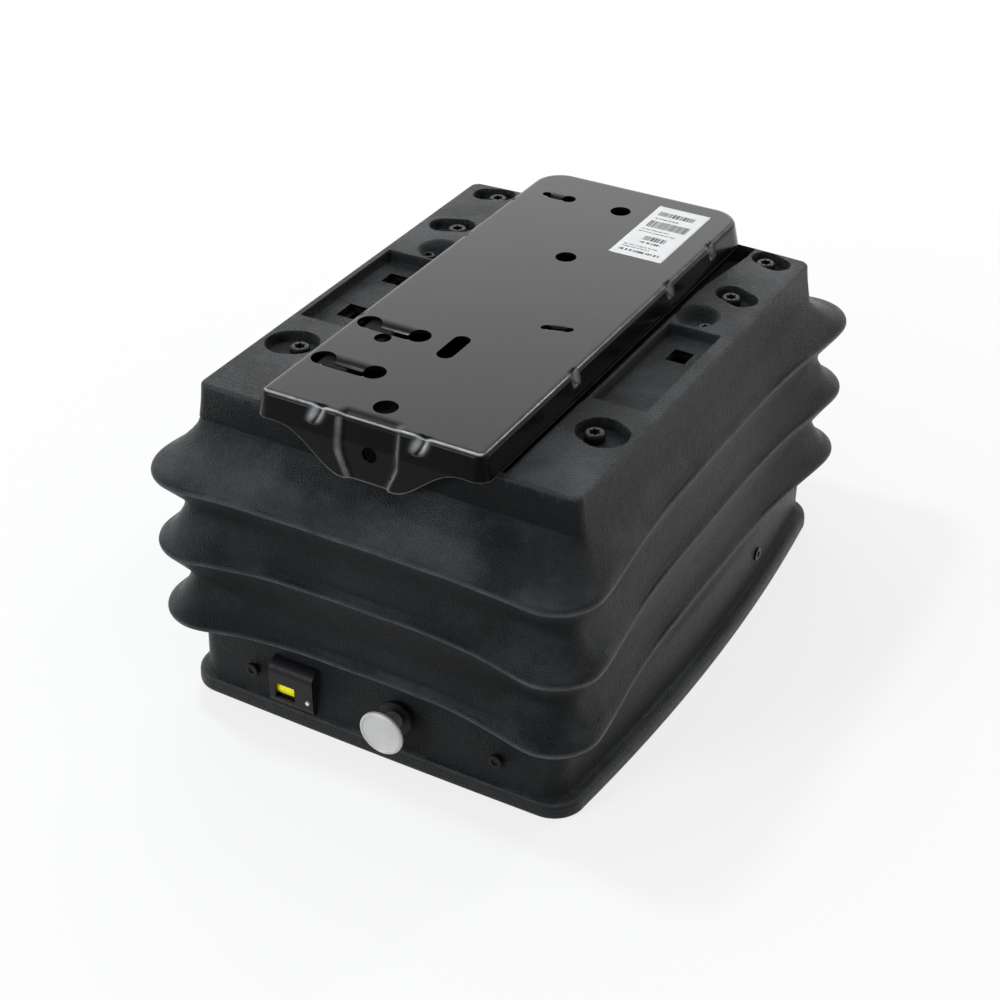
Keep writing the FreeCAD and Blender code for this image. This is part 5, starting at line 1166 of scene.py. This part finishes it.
class SUSPENSION_OT_stage(bpy.types.Operator):
    """Set up the pale floor, the soft studio light and the camera"""

    bl_idname = "suspension.stage"
    bl_label = "Stage"

    def execute(self, context):
        scene, settings = context.scene, context.scene.stage_settings
        scene.view_settings.view_transform = "Standard"
        lens = bpy.data.cameras.new("camera")
        lens.lens, lens.sensor_width = settings.focal, 36
        lens.clip_end = 50
        camera = bpy.data.objects.new("camera", lens)
        scene.collection.objects.link(camera)
        camera.matrix_world = (
            Matrix.Translation(settings.place)
            @ Matrix.Rotation(settings.turn, 4, "Z")
            @ Matrix.Rotation(math.pi / 2 - settings.tilt, 4, "X")
            @ Matrix.Rotation(settings.roll, 4, "Z")
        )
        scene.camera = camera
        world = scene.world or bpy.data.worlds.new("studio")
        scene.world = world
        world.use_nodes = True
        tree = world.node_tree
        plain = tree.nodes["Background"]
        plain.inputs["Color"].default_value = (1, 1, 1, 1)
        plain.inputs["Strength"].default_value = WORLD_STRENGTH
        white = tree.nodes.new("ShaderNodeBackground")
        white.inputs["Color"].default_value = (1, 1, 1, 1)
        mix = tree.nodes.new("ShaderNodeMixShader")
        tree.links.new(seen_rays(tree), mix.inputs["Fac"])
        tree.links.new(plain.outputs["Background"], mix.inputs[1])
        tree.links.new(white.outputs["Background"], mix.inputs[2])
        tree.links.new(mix.outputs["Shader"], tree.nodes["World Output"].inputs["Surface"])
        add_floor(tuple(settings.floor))
        for name, place, aim, size, power, colour in LAMPS:
            light = bpy.data.lights.new(name, "AREA")
            light.shape, light.size, light.energy, light.color = "SQUARE", size, power, colour
            lamp = bpy.data.objects.new(name, light)
            scene.collection.objects.link(lamp)
            turned = (Vector(place) - Vector(aim)).to_track_quat("Z", "Y").to_matrix().to_4x4()
            lamp.matrix_world = Matrix.Translation(place) @ turned
        return {"FINISHED"}


def seen_rays(tree):
    """One for rays that the camera, gloss or glass sends out, nought for the others."""
    paths = tree.nodes.new("ShaderNodeLightPath")
    seen = paths.outputs["Is Camera Ray"]
    for ray in ("Is Glossy Ray", "Is Transmission Ray"):
        larger = tree.nodes.new("ShaderNodeMath")
        larger.operation = "MAXIMUM"
        tree.links.new(seen, larger.inputs[0])
        tree.links.new(paths.outputs[ray], larger.inputs[1])
        seen = larger.outputs["Value"]
    return seen


def add_floor(colour):
    """A wide flat grid, pale, that keeps the object's shadow and turns white away from it."""
    wide, deep = np.meshgrid(np.linspace(-6, 6, 13), np.linspace(-6, 6, 13))
    points = np.stack([wide, deep, np.full_like(wide, -0.4 * MM)], -1).reshape(-1, 3)
    mesh = bpy.data.meshes.new("studio_floor")
    mesh.from_pydata(points.tolist(), [], grid_faces(13, 13).tolist())
    made = bpy.data.objects.new("studio_floor", mesh)
    bpy.context.scene.collection.objects.link(made)
    finish = Finish("pale_floor")
    finish.give(base_color=finish.clouded(finish.noise(3, 2), colour, 0.995, 1), roughness=0.9)
    glow = finish.node("ShaderNodeEmission")
    mix = finish.node("ShaderNodeMixShader")
    away = finish.node("ShaderNodeVectorMath", operation="LENGTH")
    finish.link(finish.place, away.inputs[0])
    away = finish.spread(away.outputs["Value"], 0.76, 1.0, 0.3, 0.9)
    weight = finish.math("MULTIPLY", seen_rays(finish.tree), away)
    finish.link(weight, mix.inputs["Fac"])
    finish.link(finish.shader.outputs["BSDF"], mix.inputs[1])
    finish.link(glow.outputs["Emission"], mix.inputs[2])
    finish.link(mix.outputs["Shader"], finish.tree.nodes["Material Output"].inputs["Surface"])
    mesh.materials.append(finish.material)
    return made


OPERATORS = (
    SUSPENSION_OT_stage,
    SUSPENSION_OT_finishes,
    SUSPENSION_OT_skirt,
    SUSPENSION_OT_folds,
    SUSPENSION_OT_bag,
    SUSPENSION_OT_deck,
    SUSPENSION_OT_plate,
    SUSPENSION_OT_screws,
    SUSPENSION_OT_label,
)
GROUPS = {
    "bellows_sizes": BellowsSizes,
    "deck_sizes": DeckSizes,
    "plate_sizes": PlateSizes,
    "coat_settings": CoatSettings,
    "stage_settings": StageSettings,
}


class SUSPENSION_PT_steps(bpy.types.Panel):
    """The unit's sizes, finishes and steps"""

    bl_idname = "SUSPENSION_PT_steps"
    bl_label = "Seat suspension"
    bl_space_type = "VIEW_3D"
    bl_region_type = "UI"
    bl_category = "Suspension"

    def draw(self, context):
        for word, group in GROUPS.items():
            column = self.layout.column(heading=group.__doc__)
            for setting in group.__annotations__:
                column.prop(getattr(context.scene, word), setting)
        for step in OPERATORS:
            self.layout.operator(step.bl_idname)


def register():
    """Make the settings, the steps and the panel known to Blender."""
    for group in (*GROUPS.values(), *OPERATORS, SUSPENSION_PT_steps):
        bpy.utils.register_class(group)
    for word, group in GROUPS.items():
        setattr(bpy.types.Scene, word, bpy.props.PointerProperty(type=group))


def unregister():
    """Take them away again."""
    for word in GROUPS:
        delattr(bpy.types.Scene, word)
    for group in reversed((*GROUPS.values(), *OPERATORS, SUSPENSION_PT_steps)):
        bpy.utils.unregister_class(group)


def main():
    """Run every step in order and write down the sizes of the packed and the dressed part."""
    register()
    for step in OPERATORS:
        area, word = step.bl_idname.split(".")
        getattr(getattr(bpy.ops, area), word)()


if __name__ == "__main__":
    main()
